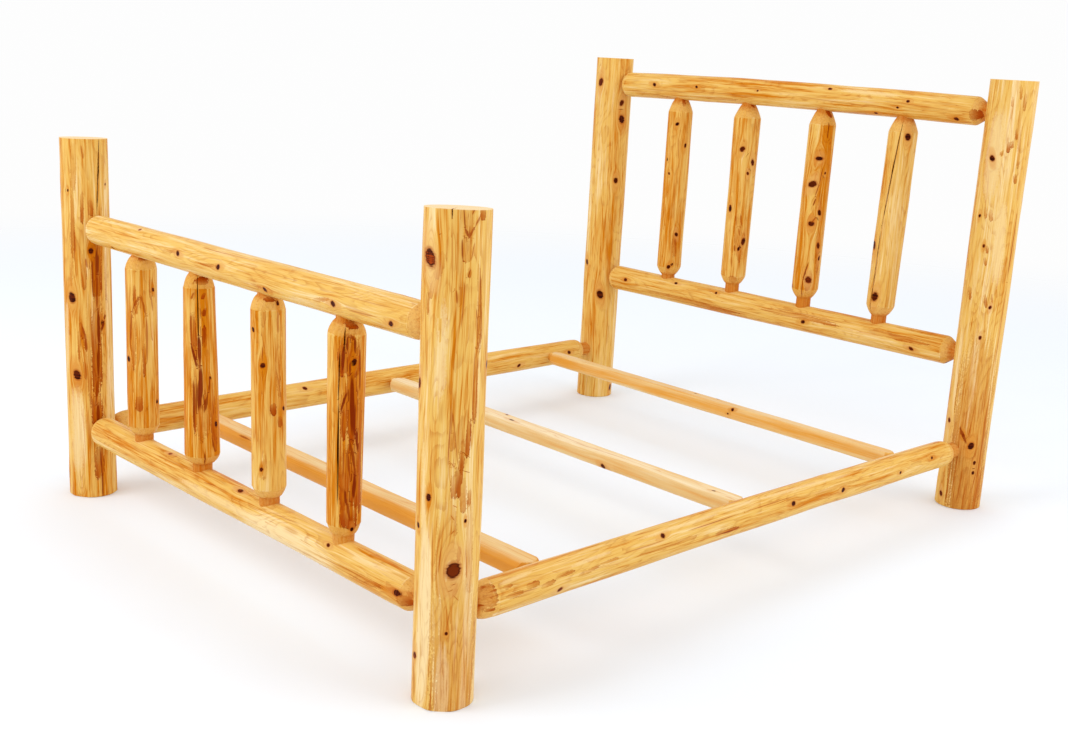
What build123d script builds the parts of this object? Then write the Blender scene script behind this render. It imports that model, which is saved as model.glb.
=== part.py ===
from build123d import *

import os
from collections import namedtuple
from math import hypot

# Rustic log bed for a queen mattress. Peeled logs are whittled down to round tenons at both ends
# and stand in blind mortises: four posts carry a headboard, a footboard and two side rails, and
# three squared slats cross between the side rails. Each side rail is drawn up to its posts by a
# hanger bolt in its tenon, with a washer and a nut in a pocket on its underside.
# Millimetres. The origin is the centre of the footprint on the floor, with +X to the right as seen
# from the foot, +Y towards the head and +Z up.

# Posts
post_spacing_across = 1675.0
post_spacing_along = 2200.0
foot_post_diameter = 137.0
foot_post_height = 1066.0
head_post_diameter = 142.0
head_post_height = 1364.0
post_top_edge = 3.0
post_foot_edge = 7.0

# Rails, each by its diameter and the height of its axis
foot_top_rail_diameter = 84.0
foot_top_rail_height = 814.0
foot_bottom_rail_diameter = 87.0
foot_bottom_rail_height = 208.0
head_top_rail_diameter = 91.0
head_top_rail_height = 1270.0
head_bottom_rail_diameter = 93.0
head_bottom_rail_height = 501.0
side_rail_diameter = 87.0
side_rail_height = 200.0
rail_tenon_diameter = 50.8
rail_tenon_depth = 40.0

# Whittled rail ends: the bare neck of tenon beside the post, then the shoulder up to the log. The
# panel rails are blunt domes at the left and cones at the right, and the side rails are long domes.
panel_rail_left_neck = 3.0
panel_rail_left_shoulder = 22.0
panel_rail_right_neck = 6.0
panel_rail_right_shoulder = 31.0
side_rail_foot_neck = 6.0
side_rail_foot_shoulder = 48.0
side_rail_head_neck = 40.0
side_rail_head_shoulder = 40.0

# Spindles: spacing, offset of the row from the middle, and each one's bottom and top diameters
foot_spindle_pitch = 324.0
foot_spindle_shift = -19.0
foot_spindle_ends = ((85.0, 85.0), (94.0, 80.0), (86.0, 85.0), (82.0, 91.0))
head_spindle_pitch = 318.0
head_spindle_shift = -5.0
head_spindle_ends = ((92.0, 92.0), (91.0, 95.0), (92.0, 91.0), (92.0, 95.0))
spindle_tenon_diameter = 50.8
spindle_tenon_depth = 30.0
spindle_shoulder = 29.0
spindle_neck = 10.0

# Slats: the outer ones' distance from the posts' axes and each one's width, from foot to head
slat_end_inset = 325.0
slat_widths = (68.0, 66.0, 48.0)
slat_height = 41.0
slat_edge_round = 9.0
slat_tenon_diameter = 34.0
slat_tenon_depth = 30.0
slat_shoulder = 34.0
slat_neck = 4.0

# Fits: radial clearance of a tenon in its mortise, room past its end, and the washers' seats
tenon_clearance = 0.2
end_clearance = 0.5
seat_clearance = 0.1

# Side rail hardware, M10
bolt_diameter = 10.0
bolt_bite = 55.0
bolt_clearance = 0.5
thread_clearance = 0.1
pocket_setback = 100.0
pocket_length = 36.0
pocket_width = 32.0
pocket_headroom = 15.0
washer_diameter = 24.0
washer_thickness = 2.0
nut_across_flats = 16.0
nut_height = 8.4
bolt_past_nut = 6.0

# A log's end: its diameter, the bare neck of its tenon, the length of its shoulder, and whether the
# shoulder is a dome or a cone
LogEnd = namedtuple("LogEnd", "diameter neck shoulder domed")

ACROSS = Vector(1, 0, 0)
ALONG = Vector(0, 1, 0)
UP = Vector(0, 0, 1)

overall_length = post_spacing_along + (foot_post_diameter + head_post_diameter) / 2
foot_line = (foot_post_diameter - overall_length) / 2
head_line = (overall_length - head_post_diameter) / 2
side_line = post_spacing_across / 2
foot_skin = foot_line + foot_post_diameter / 2
head_skin = head_line - head_post_diameter / 2
nut_seat = pocket_setback + 2 * seat_clearance + washer_thickness


def lengthwise_plane(start, direction):
    """Plane with its x along a log and its y out of the log, to draw half a profile on."""
    aside = Vector(direction.Z, direction.X, direction.Y)
    return Plane(origin=start, x_dir=direction, z_dir=aside)


def half_log(clear, first, last, tenon, depth):
    """Points of half a log's profile, from a tenon's end: tenon, shoulder, body, shoulder, tenon."""
    length = clear + 2 * depth
    first_neck = depth + first.neck
    last_neck = length - depth - last.neck
    return (
        (0, 0),
        (0, tenon / 2),
        (first_neck, tenon / 2),
        (first_neck + first.shoulder, first.diameter / 2),
        (last_neck - last.shoulder, last.diameter / 2),
        (last_neck, tenon / 2),
        (length, tenon / 2),
        (length, 0),
    )


def shoulder_line(neck_point, body_point, domed):
    """Profile of a shoulder: a quarter of an ellipse that runs smoothly into the log, or a cone."""
    run = body_point[0] - neck_point[0]
    rise = body_point[1] - neck_point[1]
    if not domed:
        Line(neck_point, body_point)
    elif run > 0:
        EllipticalCenterArc((body_point[0], neck_point[1]), run, rise, start_angle=90, arc_size=90)
    else:
        EllipticalCenterArc((body_point[0], neck_point[1]), -run, rise, start_angle=0, arc_size=90)


def whittled_log(start, direction, clear, first, last, tenon, depth):
    """Log that spans a clear distance between two carriers and enters each by its tenon."""
    profile_plane = lengthwise_plane(start - direction * depth, direction)
    points = half_log(clear, first, last, tenon, depth)
    with BuildPart() as log:
        with BuildSketch(profile_plane):
            with BuildLine():
                Polyline(*points[:3])
                shoulder_line(points[2], points[3], first.domed)
                Line(points[3], points[4])
                shoulder_line(points[5], points[4], last.domed)
                Polyline(*points[5:], points[0])
            make_face()
        revolve(axis=Axis(start, direction))
    return log.part


def drill(centre, outward, log_diameter, depth, diameter):
    """Drills a blind hole to a depth below a log's skin, square to the log's axis."""
    mouth = centre + outward * (log_diameter / 2)
    with Locations(Plane(origin=mouth, z_dir=outward)):
        Hole(radius=diameter / 2, depth=depth)


def mortise(centre, outward, log_diameter, depth, tenon):
    """Blind round mortise for a tenon, with its clearances."""
    drill(centre, outward, log_diameter, depth + end_clearance, tenon + 2 * tenon_clearance)


def post(foot, diameter, height, inward_across, inward_along, rail_heights):
    """Post with mortises for two panel rails and one side rail, and the side rail's bolt hole."""
    with BuildPart() as log:
        with BuildSketch(Plane(origin=foot)):
            Circle(diameter / 2)
        extrude(amount=height)
        chamfer(log.edges().filter_by(GeomType.CIRCLE).sort_by(Axis.Z)[0], post_foot_edge)
        fillet(log.edges().filter_by(GeomType.CIRCLE).sort_by(Axis.Z)[-1], post_top_edge)
        for rail_height in rail_heights:
            seat = foot + UP * rail_height
            mortise(seat, inward_across, diameter, rail_tenon_depth, rail_tenon_diameter)
        seat = foot + UP * side_rail_height
        mortise(seat, inward_along, diameter, rail_tenon_depth, rail_tenon_diameter)
        drill(
            seat,
            inward_along,
            diameter,
            rail_tenon_depth + end_clearance + bolt_bite,
            bolt_diameter + 2 * thread_clearance,
        )
    return log.part


def panel_rail(line, height, diameter, post_diameter, spindle_places, spindle_side):
    """Cross rail of the headboard or footboard, with a row of mortises for its spindles."""
    clear = post_spacing_across - post_diameter
    centre = ALONG * line + UP * height
    blank = whittled_log(
        centre - ACROSS * (clear / 2),
        ACROSS,
        clear,
        LogEnd(diameter, panel_rail_left_neck, panel_rail_left_shoulder, domed=True),
        LogEnd(diameter, panel_rail_right_neck, panel_rail_right_shoulder, domed=False),
        rail_tenon_diameter,
        rail_tenon_depth,
    )
    with BuildPart() as rail:
        add(blank)
        for place in spindle_places:
            seat = centre + ACROSS * place
            mortise(seat, spindle_side, diameter, spindle_tenon_depth, spindle_tenon_diameter)
    return rail.part


def spindle(place, line, low_skin, high_skin, diameters):
    """Upright between the skins of two panel rails."""
    bottom, top = (
        LogEnd(diameter, spindle_neck, spindle_shoulder, domed=False) for diameter in diameters
    )
    start = ACROSS * place + ALONG * line + UP * low_skin
    clear = high_skin - low_skin
    return whittled_log(start, UP, clear, bottom, top, spindle_tenon_diameter, spindle_tenon_depth)


def side_rail(side):
    """Side rail with a bolt hole and a nut pocket at each end, and mortises for the slats."""
    centre = ACROSS * (side * side_line) + UP * side_rail_height
    blank = whittled_log(
        centre + ALONG * foot_skin,
        ALONG,
        head_skin - foot_skin,
        LogEnd(side_rail_diameter, side_rail_foot_neck, side_rail_foot_shoulder, domed=True),
        LogEnd(side_rail_diameter, side_rail_head_neck, side_rail_head_shoulder, domed=True),
        rail_tenon_diameter,
        rail_tenon_depth,
    )
    pocket_middle = pocket_setback + pocket_length / 2
    with BuildPart() as rail:
        add(blank)
        for place in slat_places:
            seat = centre + ALONG * place
            mortise(seat, ACROSS * -side, side_rail_diameter, slat_tenon_depth, slat_tenon_diameter)
        for skin, inward in ((foot_skin, 1), (head_skin, -1)):
            tenon_end = centre + ALONG * (skin - inward * rail_tenon_depth)
            with Locations(Plane(origin=tenon_end, z_dir=ALONG * -inward)):
                Hole(
                    radius=bolt_diameter / 2 + bolt_clearance,
                    depth=rail_tenon_depth + pocket_middle,
                )
            roof = centre + ALONG * (skin + inward * pocket_middle) + UP * pocket_headroom
            with BuildSketch(Plane(origin=roof)):
                Rectangle(pocket_width, pocket_length)
            extrude(amount=-side_rail_diameter, mode=Mode.SUBTRACT)
    return rail.part


def slat(place, width):
    """Squared slat with rounded edges, its ends turned down to round tenons."""
    clear = post_spacing_across - side_rail_diameter
    length = clear + 2 * slat_tenon_depth
    start = ALONG * place + UP * side_rail_height - ACROSS * (length / 2)
    end = LogEnd(hypot(width, slat_height), slat_neck, slat_shoulder, domed=False)
    envelope = half_log(clear, end, end, slat_tenon_diameter, slat_tenon_depth)
    with BuildPart() as bar:
        with BuildSketch(Plane(origin=start, x_dir=ALONG, z_dir=ACROSS)):
            RectangleRounded(width, slat_height, slat_edge_round)
        extrude(amount=length)
        with BuildSketch(lengthwise_plane(start, ACROSS)):
            with BuildLine():
                Polyline(*envelope, close=True)
            make_face()
        revolve(axis=Axis(start, ACROSS), mode=Mode.INTERSECT)
    return bar.part


def at_each_rail_end(distance):
    """Planes facing inward at a distance from each post's skin, on the side rails' axes."""
    return [
        Plane(
            origin=(side * side_line, skin + inward * distance, side_rail_height),
            x_dir=ACROSS,
            z_dir=ALONG * inward,
        )
        for side in (-1, 1)
        for skin, inward in ((foot_skin, 1), (head_skin, -1))
    ]


def hanger_bolts():
    """Four hanger bolts, from the posts' pilot holes to just past their nuts."""
    tip = -(rail_tenon_depth + end_clearance + bolt_bite)
    past_nut = nut_seat + nut_height + bolt_past_nut
    with BuildPart() as bolts:
        for end in at_each_rail_end(tip):
            with BuildSketch(end):
                Circle(bolt_diameter / 2)
            extrude(amount=past_nut - tip)
    return bolts.part


def washers():
    """Four washers against the posts' side of the nut pockets."""
    with BuildPart() as rings:
        for end in at_each_rail_end(pocket_setback + seat_clearance):
            with BuildSketch(end):
                Circle(washer_diameter / 2)
                Circle(bolt_diameter / 2 + bolt_clearance, mode=Mode.SUBTRACT)
            extrude(amount=washer_thickness)
    return rings.part


def nuts():
    """Four hexagon nuts against their washers."""
    with BuildPart() as hexes:
        for end in at_each_rail_end(nut_seat):
            with BuildSketch(end):
                RegularPolygon(nut_across_flats / 2, 6, major_radius=False)
                Circle(bolt_diameter / 2 + thread_clearance, mode=Mode.SUBTRACT)
            extrude(amount=nut_height)
    return hexes.part


def row(count, pitch, middle):
    """Places of a row of pieces, evenly spaced about its middle."""
    return [middle + pitch * (index - (count - 1) / 2) for index in range(count)]


foot_spindle_places = row(len(foot_spindle_ends), foot_spindle_pitch, foot_spindle_shift)
head_spindle_places = row(len(head_spindle_ends), head_spindle_pitch, head_spindle_shift)
slat_pitch = (post_spacing_along - 2 * slat_end_inset) / (len(slat_widths) - 1)
slat_places = row(len(slat_widths), slat_pitch, (foot_line + head_line) / 2)

pieces = {}

for side, side_name in ((-1, "left"), (1, "right")):
    inward = ACROSS * -side
    pieces[f"foot_post_{side_name}"] = post(
        ACROSS * (side * side_line) + ALONG * foot_line,
        foot_post_diameter,
        foot_post_height,
        inward,
        ALONG,
        (foot_bottom_rail_height, foot_top_rail_height),
    )
    pieces[f"head_post_{side_name}"] = post(
        ACROSS * (side * side_line) + ALONG * head_line,
        head_post_diameter,
        head_post_height,
        inward,
        ALONG * -1,
        (head_bottom_rail_height, head_top_rail_height),
    )
    pieces[f"side_rail_{side_name}"] = side_rail(side)

for name, line, height, diameter, post_diameter, places, spindle_side in (
    ("foot_bottom_rail", foot_line, foot_bottom_rail_height, foot_bottom_rail_diameter,
     foot_post_diameter, foot_spindle_places, UP),
    ("foot_top_rail", foot_line, foot_top_rail_height, foot_top_rail_diameter,
     foot_post_diameter, foot_spindle_places, UP * -1),
    ("head_bottom_rail", head_line, head_bottom_rail_height, head_bottom_rail_diameter,
     head_post_diameter, head_spindle_places, UP),
    ("head_top_rail", head_line, head_top_rail_height, head_top_rail_diameter,
     head_post_diameter, head_spindle_places, UP * -1),
):
    pieces[name] = panel_rail(line, height, diameter, post_diameter, places, spindle_side)

foot_low_skin = foot_bottom_rail_height + foot_bottom_rail_diameter / 2
foot_high_skin = foot_top_rail_height - foot_top_rail_diameter / 2
for number, (place, ends) in enumerate(zip(foot_spindle_places, foot_spindle_ends), 1):
    pieces[f"foot_spindle_{number}"] = spindle(place, foot_line, foot_low_skin, foot_high_skin, ends)

head_low_skin = head_bottom_rail_height + head_bottom_rail_diameter / 2
head_high_skin = head_top_rail_height - head_top_rail_diameter / 2
for number, (place, ends) in enumerate(zip(head_spindle_places, head_spindle_ends), 1):
    pieces[f"head_spindle_{number}"] = spindle(place, head_line, head_low_skin, head_high_skin, ends)

for slat_name, place, width in zip(("foot_slat", "middle_slat", "head_slat"), slat_places, slat_widths):
    pieces[slat_name] = slat(place, width)

pieces["side_rail_bolts"] = hanger_bolts()
pieces["side_rail_washers"] = washers()
pieces["side_rail_nuts"] = nuts()

os.makedirs("parts", exist_ok=True)
for name, piece in pieces.items():
    piece.label = name
    export_step(piece, f"parts/{name}.step")
    print(name, "volume", round(piece.volume))
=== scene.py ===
# %% [markdown]
# # A rustic log bed
# The bed is 21 peeled logs and bars held by whittled tenons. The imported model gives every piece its
# place and size, and this lesson gives every piece its skin: the flats that a drawknife leaves, the
# knots, the drying checks and the grain that runs round them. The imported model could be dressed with
# materials alone, but its logs are perfectly round, and a peeled log never is, so each one is worked
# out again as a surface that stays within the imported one's place. Lengths are in metres and angles
# in radians, unless a comment gives another unit.

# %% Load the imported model
import math
from collections import namedtuple
from dataclasses import dataclass

import bpy
import numpy as np
from mathutils import Matrix, Vector


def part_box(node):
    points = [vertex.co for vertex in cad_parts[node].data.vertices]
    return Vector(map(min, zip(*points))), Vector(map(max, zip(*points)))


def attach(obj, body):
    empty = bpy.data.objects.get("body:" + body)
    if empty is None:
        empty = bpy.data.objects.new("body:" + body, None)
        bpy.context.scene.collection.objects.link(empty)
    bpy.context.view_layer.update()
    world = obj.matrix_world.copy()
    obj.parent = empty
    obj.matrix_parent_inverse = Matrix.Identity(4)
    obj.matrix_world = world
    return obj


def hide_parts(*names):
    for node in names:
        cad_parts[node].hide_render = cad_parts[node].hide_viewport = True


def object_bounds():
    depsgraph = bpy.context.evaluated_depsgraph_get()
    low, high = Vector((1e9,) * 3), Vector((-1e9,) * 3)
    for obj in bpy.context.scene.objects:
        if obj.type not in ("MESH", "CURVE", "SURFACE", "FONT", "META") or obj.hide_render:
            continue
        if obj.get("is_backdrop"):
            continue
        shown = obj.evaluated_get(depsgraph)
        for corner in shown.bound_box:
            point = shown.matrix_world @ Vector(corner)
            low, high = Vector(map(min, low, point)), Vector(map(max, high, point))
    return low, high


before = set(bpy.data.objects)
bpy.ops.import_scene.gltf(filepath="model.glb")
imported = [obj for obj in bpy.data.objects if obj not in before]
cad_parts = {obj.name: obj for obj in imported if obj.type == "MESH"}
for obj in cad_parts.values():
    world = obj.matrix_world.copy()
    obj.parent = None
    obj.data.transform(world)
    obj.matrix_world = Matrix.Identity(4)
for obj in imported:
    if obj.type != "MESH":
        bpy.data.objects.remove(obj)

CAD_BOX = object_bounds()
BODY = "root"
print("nodes:", len(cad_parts), "box:", [tuple(round(x, 3) for x in corner) for corner in CAD_BOX])

# %% [markdown]
# ## The camera
# The bed is seen from beyond the right foot post, a little above the headboard's height and from
# about four metres away. A camera could be aimed by eye at the end. Here it comes first, because the
# marks that show from there are given as picture points: a picture point is turned into a ray, and the
# ray meets its log.

# %% Set the camera
PICTURE_WIDTH, PICTURE_HEIGHT = 1068, 756
FOCAL_PIXELS = 1318.0
SENSOR = 36.0
EYE = np.array((2.834, -2.799, 1.373))
YAW, PITCH, ROLL = 0.8030, 0.2426, 0.0533


def camera_axes(yaw, pitch, roll):
    """Right, up and forward of a camera that is turned by yaw, tipped down by pitch, then rolled."""
    flat = math.cos(pitch)
    forward = np.array((-math.sin(yaw) * flat, math.cos(yaw) * flat, -math.sin(pitch)))
    level = np.array((math.cos(yaw), math.sin(yaw), 0.0))
    upright = np.cross(level, forward)
    right = math.cos(roll) * level + math.sin(roll) * upright
    return right, np.cross(right, forward), forward


RIGHT, UP, FORWARD = camera_axes(YAW, PITCH, ROLL)


def ray(x, y):
    """Direction from the eye through a picture point: forward plus its offsets over the focal length."""
    across = (x - PICTURE_WIDTH / 2) / FOCAL_PIXELS
    down = (y - PICTURE_HEIGHT / 2) / FOCAL_PIXELS
    return FORWARD + RIGHT * across - UP * down


def put_in_scene(name, data):
    """A new object in the scene, standing at the origin."""
    thing = bpy.data.objects.new(name, data)
    bpy.context.scene.collection.objects.link(thing)
    return thing


camera_data = bpy.data.cameras.new("camera")
camera_data.sensor_width = SENSOR
camera_data.lens = FOCAL_PIXELS * SENSOR / PICTURE_WIDTH
camera = put_in_scene("camera", camera_data)
turned = Matrix(np.column_stack((RIGHT, UP, -FORWARD)).tolist()).to_4x4()
camera.matrix_world = Matrix.Translation(Vector(EYE)) @ turned
bpy.context.scene.camera = camera
print("lens", round(camera_data.lens, 2), "mm")

# %% [markdown]
# ## What a log is
# A log has an axis, two radii, and two ends that are either sawn flat or whittled down to a tenon.
# It could be sculpted by hand, but 18 logs are one idea with different numbers, so a log is a record
# of its numbers, in metres, and one set of formulas makes them all. Distance along the log is s,
# counted from its start, and the angle round it starts at the first of its two cross directions.
# A squared bar is the same record with a section.

# %% Name what marks a log
Sawn = namedtuple("Sawn", "edge")
Whittled = namedtuple("Whittled", "tenon_radius tenon bare shoulder dome")
Knot = namedtuple("Knot", "x y size dark tall", defaults=(1.25,))
Check = namedtuple("Check", "x0 y0 x1 y1 width")
Line = namedtuple("Line", "x0 y0 x1 y1 width dark")
BarkAndShade = namedtuple("BarkAndShade", "x0 y0 x1 y1 width dark")
SapwoodAndSheen = namedtuple("SapwoodAndSheen", "x0 y0 x1 y1 width")
Stroke = namedtuple("Stroke", "x y reach depth")
Swell = namedtuple("Swell", "x y height length")
Mark = namedtuple("Mark", "s angle size dark tall")
Band = namedtuple("Band", "s0 s1 angle0 angle1 half_width dark")

SAPWOOD_AND_SHEEN_MARK = -1.0

# %% [markdown]
# A knot is a point with a size in metres and how tall it is for its width. A check is an open drying
# crack, a line is a thin dark seam in the grain, and bark is a patch of amber inner bark, which runs
# from its faint end to its hard dark end. A few of them are painted shade instead: the bark on the
# footboard spindles' top cones, which stands for the top rail's shadow, and three lines down the right
# head post's edge. Two very wide bands only darken the lower part of a post. A pale patch is bare
# sapwood, and on the right side rail and the foot posts' edges it is painted highlight and reflection
# of the lacquer: it is kept as bark whose darkness is below zero. Each of these four is a band between
# two picture points.
#
# What is hidden from the camera is left to chance, as on a real log. The chance is drawn from a seed,
# so that the bed is the same bed each time. Slow unevenness is a sum of waves whose lengths are drawn
# by chance too. It needs no grid, so it can be worked out at any place, and it closes round a log.

# %% Sum waves into bumps
WAVE_SPREAD = (0.6, 2.2)


class Waves:
    """Smooth bumps of about -1 to 1 over a log's skin.

    A sum of waves cos(m angle + k s + p). Each m is a whole number, so the sum closes round the log.
    """

    def __init__(self, rng, count, lobes, wavelength):
        self.lobes = rng.integers(0, lobes + 1, count)
        sign = rng.choice((-1.0, 1.0), count)
        self.rate = sign * 2 * np.pi / (wavelength * rng.uniform(*WAVE_SPREAD, count))
        self.phase = rng.uniform(0, 2 * np.pi, count)

    def __call__(self, s, angle):
        waves = (np.cos(m * angle + k * s + p) for m, k, p in zip(self.lobes, self.rate, self.phase))
        return sum(waves) / math.sqrt(len(self.phase))


# %% [markdown]
# The record comes last. Its first part is what is given for each log. When it is settled, it finds
# its axis from its node's box, turns each picture point into a place on its skin, and draws what only
# chance decides.

# %% Describe a log
CROSS = {"x": (1, 2, 0), "y": (2, 0, 1), "z": (0, 1, 2)}
FIBRE_WANDER, WANDER_RATE = 0.02, 9.0
STROKES_PER_METRE = 24
STROKE_REACH, STROKE_DEPTH = (0.12, 0.42), (0.0004, 0.0018)
USUAL_WIDTH = 0.14
KNOT_CLEAR = 0.06
HIDDEN_SIZE, HIDDEN_DARK, HIDDEN_TALL = (0.003, 0.008), (0.2, 1.0), 1.3
UNSEEN = -0.1


@dataclass
class Log:
    """A peeled log by its CAD node, its radii at start and end, and how it was worked."""

    node: str
    along: str
    radii: tuple
    ends: tuple
    shifts: tuple = ((0.0, 0.0), (0.0, 0.0))
    bow: tuple = (0.0, 0.0)
    twist: float = 0.0
    tone: float = 0.4
    # Painted shade on a bar's long sides, added to its tone by the cosine of the angle to the fourth.
    side_shade: float = 0.0
    knots: tuple = ()
    checks: tuple = ()
    lines: tuple = ()
    barks_and_shade: tuple = ()
    sapwood_and_sheen: tuple = ()
    strokes: tuple = ()
    swells: tuple = ()
    limits: tuple = ()
    section: tuple = ()
    pith: tuple = (0.0, 0.0)
    tilt: tuple = (0.0, 0.0)
    hidden_knots: int = 8

    def settle(self, seed):
        """Finds the axis from the node's box and draws what only chance decides."""
        low, high = (np.array(corner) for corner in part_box(self.node))
        first, second, axis = CROSS[self.along]
        self.first, self.second, self.axis = (np.eye(3)[i] for i in (first, second, axis))
        self.start = (low + high) / 2
        self.start[axis] = low[axis]
        self.length = high[axis] - low[axis]
        self.cad_radius = (high[first] - low[first]) / 2
        self.rng = np.random.default_rng(seed)
        self.shape = Waves(self.rng, count=9, lobes=3, wavelength=0.5)
        self.growth = Waves(self.rng, count=14, lobes=4, wavelength=0.32)
        self.planes = self.draw_strokes()
        self.marks = [self.mark(k) for k in self.knots] + self.draw_hidden_knots()
        self.cracks = [self.band(c, 1.0) for c in self.checks]
        self.seams = self.cracks + [self.band(line, line.dark) for line in self.lines]
        self.patches = [self.band(patch_mark, patch_mark.dark) for patch_mark in self.barks_and_shade]
        self.patches += [self.band(pale, SAPWOOD_AND_SHEEN_MARK) for pale in self.sapwood_and_sheen]
        self.bumps = [self.spot(b.x, b.y) + (b.height, b.length) for b in self.swells]
        return self

    def spot(self, x, y):
        """Where a picture point's ray meets the log: it solves |eye + t ray - axis| = radius."""
        flat = np.array((self.first, self.second))
        eye, way = flat @ (EYE - self.start), flat @ ray(x, y)
        if self.section:
            step = self.step_to_bar(eye, way)
        else:
            a, b, c = way @ way, eye @ way, eye @ eye - (sum(self.radii) / 2) ** 2
            step = (-b - math.sqrt(max(b * b - a * c, 0.0))) / a
        across = eye + step * way
        s = (EYE - self.start + step * ray(x, y)) @ self.axis
        return s, math.atan2(across[1], across[0])

    def step_to_bar(self, eye, way):
        """How far along a ray it meets a squared bar: at its top, or else at its side near the eye."""
        half_width, half_height = self.section
        step = (half_height - eye[1]) / way[1]
        beside = abs(eye[0] + step * way[0]) > half_width
        return (-half_width - eye[0]) / way[0] if beside else step

    def mark(self, knot):
        """A knot's place on the log."""
        s, angle = self.spot(knot.x, knot.y)
        return Mark(s, angle - self.turn(s), knot.size, knot.dark, knot.tall)

    def band(self, seam, dark):
        """The places of a band's two ends on the log."""
        (s0, angle0), (s1, angle1) = self.spot(seam.x0, seam.y0), self.spot(seam.x1, seam.y1)
        return Band(s0, s1, angle0 - self.turn(s0), angle1 - self.turn(s1), seam.width / 2, dark)

    def turn(self, s):
        """Spiral of the fibres: the twist times the distance, and a slow wander."""
        return self.twist * s + FIBRE_WANDER * np.sin(WANDER_RATE * s)

    def draw_strokes(self):
        """Angle, middle, reach and depth of each flat stroke of the drawknife."""
        count = int(self.length * STROKES_PER_METRE)
        angles = self.rng.uniform(0, 2 * np.pi, count)
        middles = self.rng.uniform(0, self.length, count)
        reaches = self.rng.uniform(*STROKE_REACH, count)
        depths = self.rng.uniform(*STROKE_DEPTH, count) * sum(self.radii) / USUAL_WIDTH
        for stroke in self.strokes:
            s, angle = self.spot(stroke.x, stroke.y)
            angles, middles = np.append(angles, angle), np.append(middles, s)
            reaches, depths = np.append(reaches, stroke.reach), np.append(depths, stroke.depth)
        return angles, middles, reaches, depths

    def draw_hidden_knots(self):
        """Knots on the side that the camera doesn't see."""
        marks = []
        while len(marks) < self.hidden_knots:
            s = self.rng.uniform(KNOT_CLEAR, self.length - KNOT_CLEAR)
            angle = self.rng.uniform(-np.pi, np.pi)
            size, dark = self.rng.uniform(*HIDDEN_SIZE), self.rng.uniform(*HIDDEN_DARK)
            outward = self.first * math.cos(angle) + self.second * math.sin(angle)
            if (EYE - self.start - self.axis * s) @ outward < UNSEEN:
                marks.append(Mark(s, angle - self.turn(s), size, dark, HIDDEN_TALL))
        return marks


# %% [markdown]
# ## The skin of a log
# A drawknife takes the bark off in long flat strokes. Each stroke is a plane at a small depth, and a
# plane at distance d from the axis has the radius d / cos(angle) round it, so the skin is the least
# of the round log and all its strokes. A displacement texture could roughen a cylinder, but it would
# miss these flats, which are what the light shows on a peeled log.

# %% Work out round, flat and squared radii
EDGE_ROUNDING = 0.005
NO_CUT = 1.0
STEEPEST, LEAST_COSINE = 0.3, 0.05


def soft_least(a, b, softness):
    """Smaller of two, rounded where they meet.

    With k the softness it is min(a, b) - h^2 k / 4, where h = max(1 - |a - b| / k, 0).
    """
    h = np.maximum(1.0 - np.abs(a - b) / softness, 0.0)
    return np.minimum(a, b) - h * h * softness / 4


def wrapped(angle):
    """The same angle between -pi and pi."""
    return (angle + np.pi) % (2 * np.pi) - np.pi


def plain_radius(log, s):
    """Straight taper from the radius at the start to the radius at the end."""
    share = np.clip(s / log.length, 0.0, 1.0)
    return log.radii[0] + (log.radii[1] - log.radii[0]) * share


def flat_radius(distance, angle):
    """Radius of a plane at a distance from the axis: distance / cos(angle), and none behind it."""
    slope = np.cos(angle)
    return np.where(slope > STEEPEST, distance / np.maximum(slope, STEEPEST), NO_CUT)


def squared_radius(section, angle):
    """Radius of a bar with rounded edges: the least of its four sides' planes."""
    side = section[0] / np.maximum(np.abs(np.cos(angle)), LEAST_COSINE)
    top = section[1] / np.maximum(np.abs(np.sin(angle)), LEAST_COSINE)
    return soft_least(side, top, EDGE_ROUNDING)


# %% Peel the log
SOFT_EDGE = 0.0007
SLOW_BUMP = 0.0006
STROKE_PROUD, BAR_PROUD = 0.0012, 0.004
SWELL_ANGLE = 0.9


def stroked_radius(log, s, angle):
    """Round or squared skin with slow bumps, cut by flat strokes that fade towards their two ends.

    A swell adds height exp(-(s / reach)^2 - (angle / width)^2). A stroke's plane stands proud of the
    log at its two ends, and sqrt(1 - (s / reach)^2) takes it down to its depth between them.
    """
    whole = squared_radius(log.section, angle) if log.section else plain_radius(log, s)
    radius = whole + SLOW_BUMP * log.shape(s, angle)
    for bump_s, bump_angle, height, reach in log.bumps:
        aside = wrapped(angle - bump_angle)
        radius = radius + height * np.exp(-((s - bump_s) / reach) ** 2 - (aside / SWELL_ANGLE) ** 2)
    for stroke_angle, middle, reach, depth in zip(*log.planes):
        fade = np.maximum(1.0 - ((s - middle) / reach) ** 2, 0.0)
        distance = plain_radius(log, s) + STROKE_PROUD - (depth + STROKE_PROUD) * np.sqrt(fade)
        if log.section:
            distance = distance + BAR_PROUD
        radius = soft_least(radius, flat_radius(distance, wrapped(angle - stroke_angle)), SOFT_EDGE)
    return radius


# %% [markdown]
# A knot is where a branch left the trunk. The trunk has grown round it, so it stands in a swelling,
# and a dead branch has shrunk into a small pit. Both could be modelled with a brush, one by one. Here
# they are bell curves on the radius, which have no edge that the mesh would have to follow.

# %% Raise the knots
KNOT_STRETCH = 1.6
KNOT_RISE, RISE_SPREAD = 0.1, 6.0
PIT_DEPTH, PIT_EDGE = 0.0010, 1.6


def knot_distance(log, s, angle, mark, stretch):
    """Sideways and lengthwise distance from a knot on the skin, the second divided by a stretch."""
    sideways = wrapped(angle - log.turn(s) - mark.angle) * plain_radius(log, s)
    return sideways, (s - mark.s) / stretch


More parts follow.
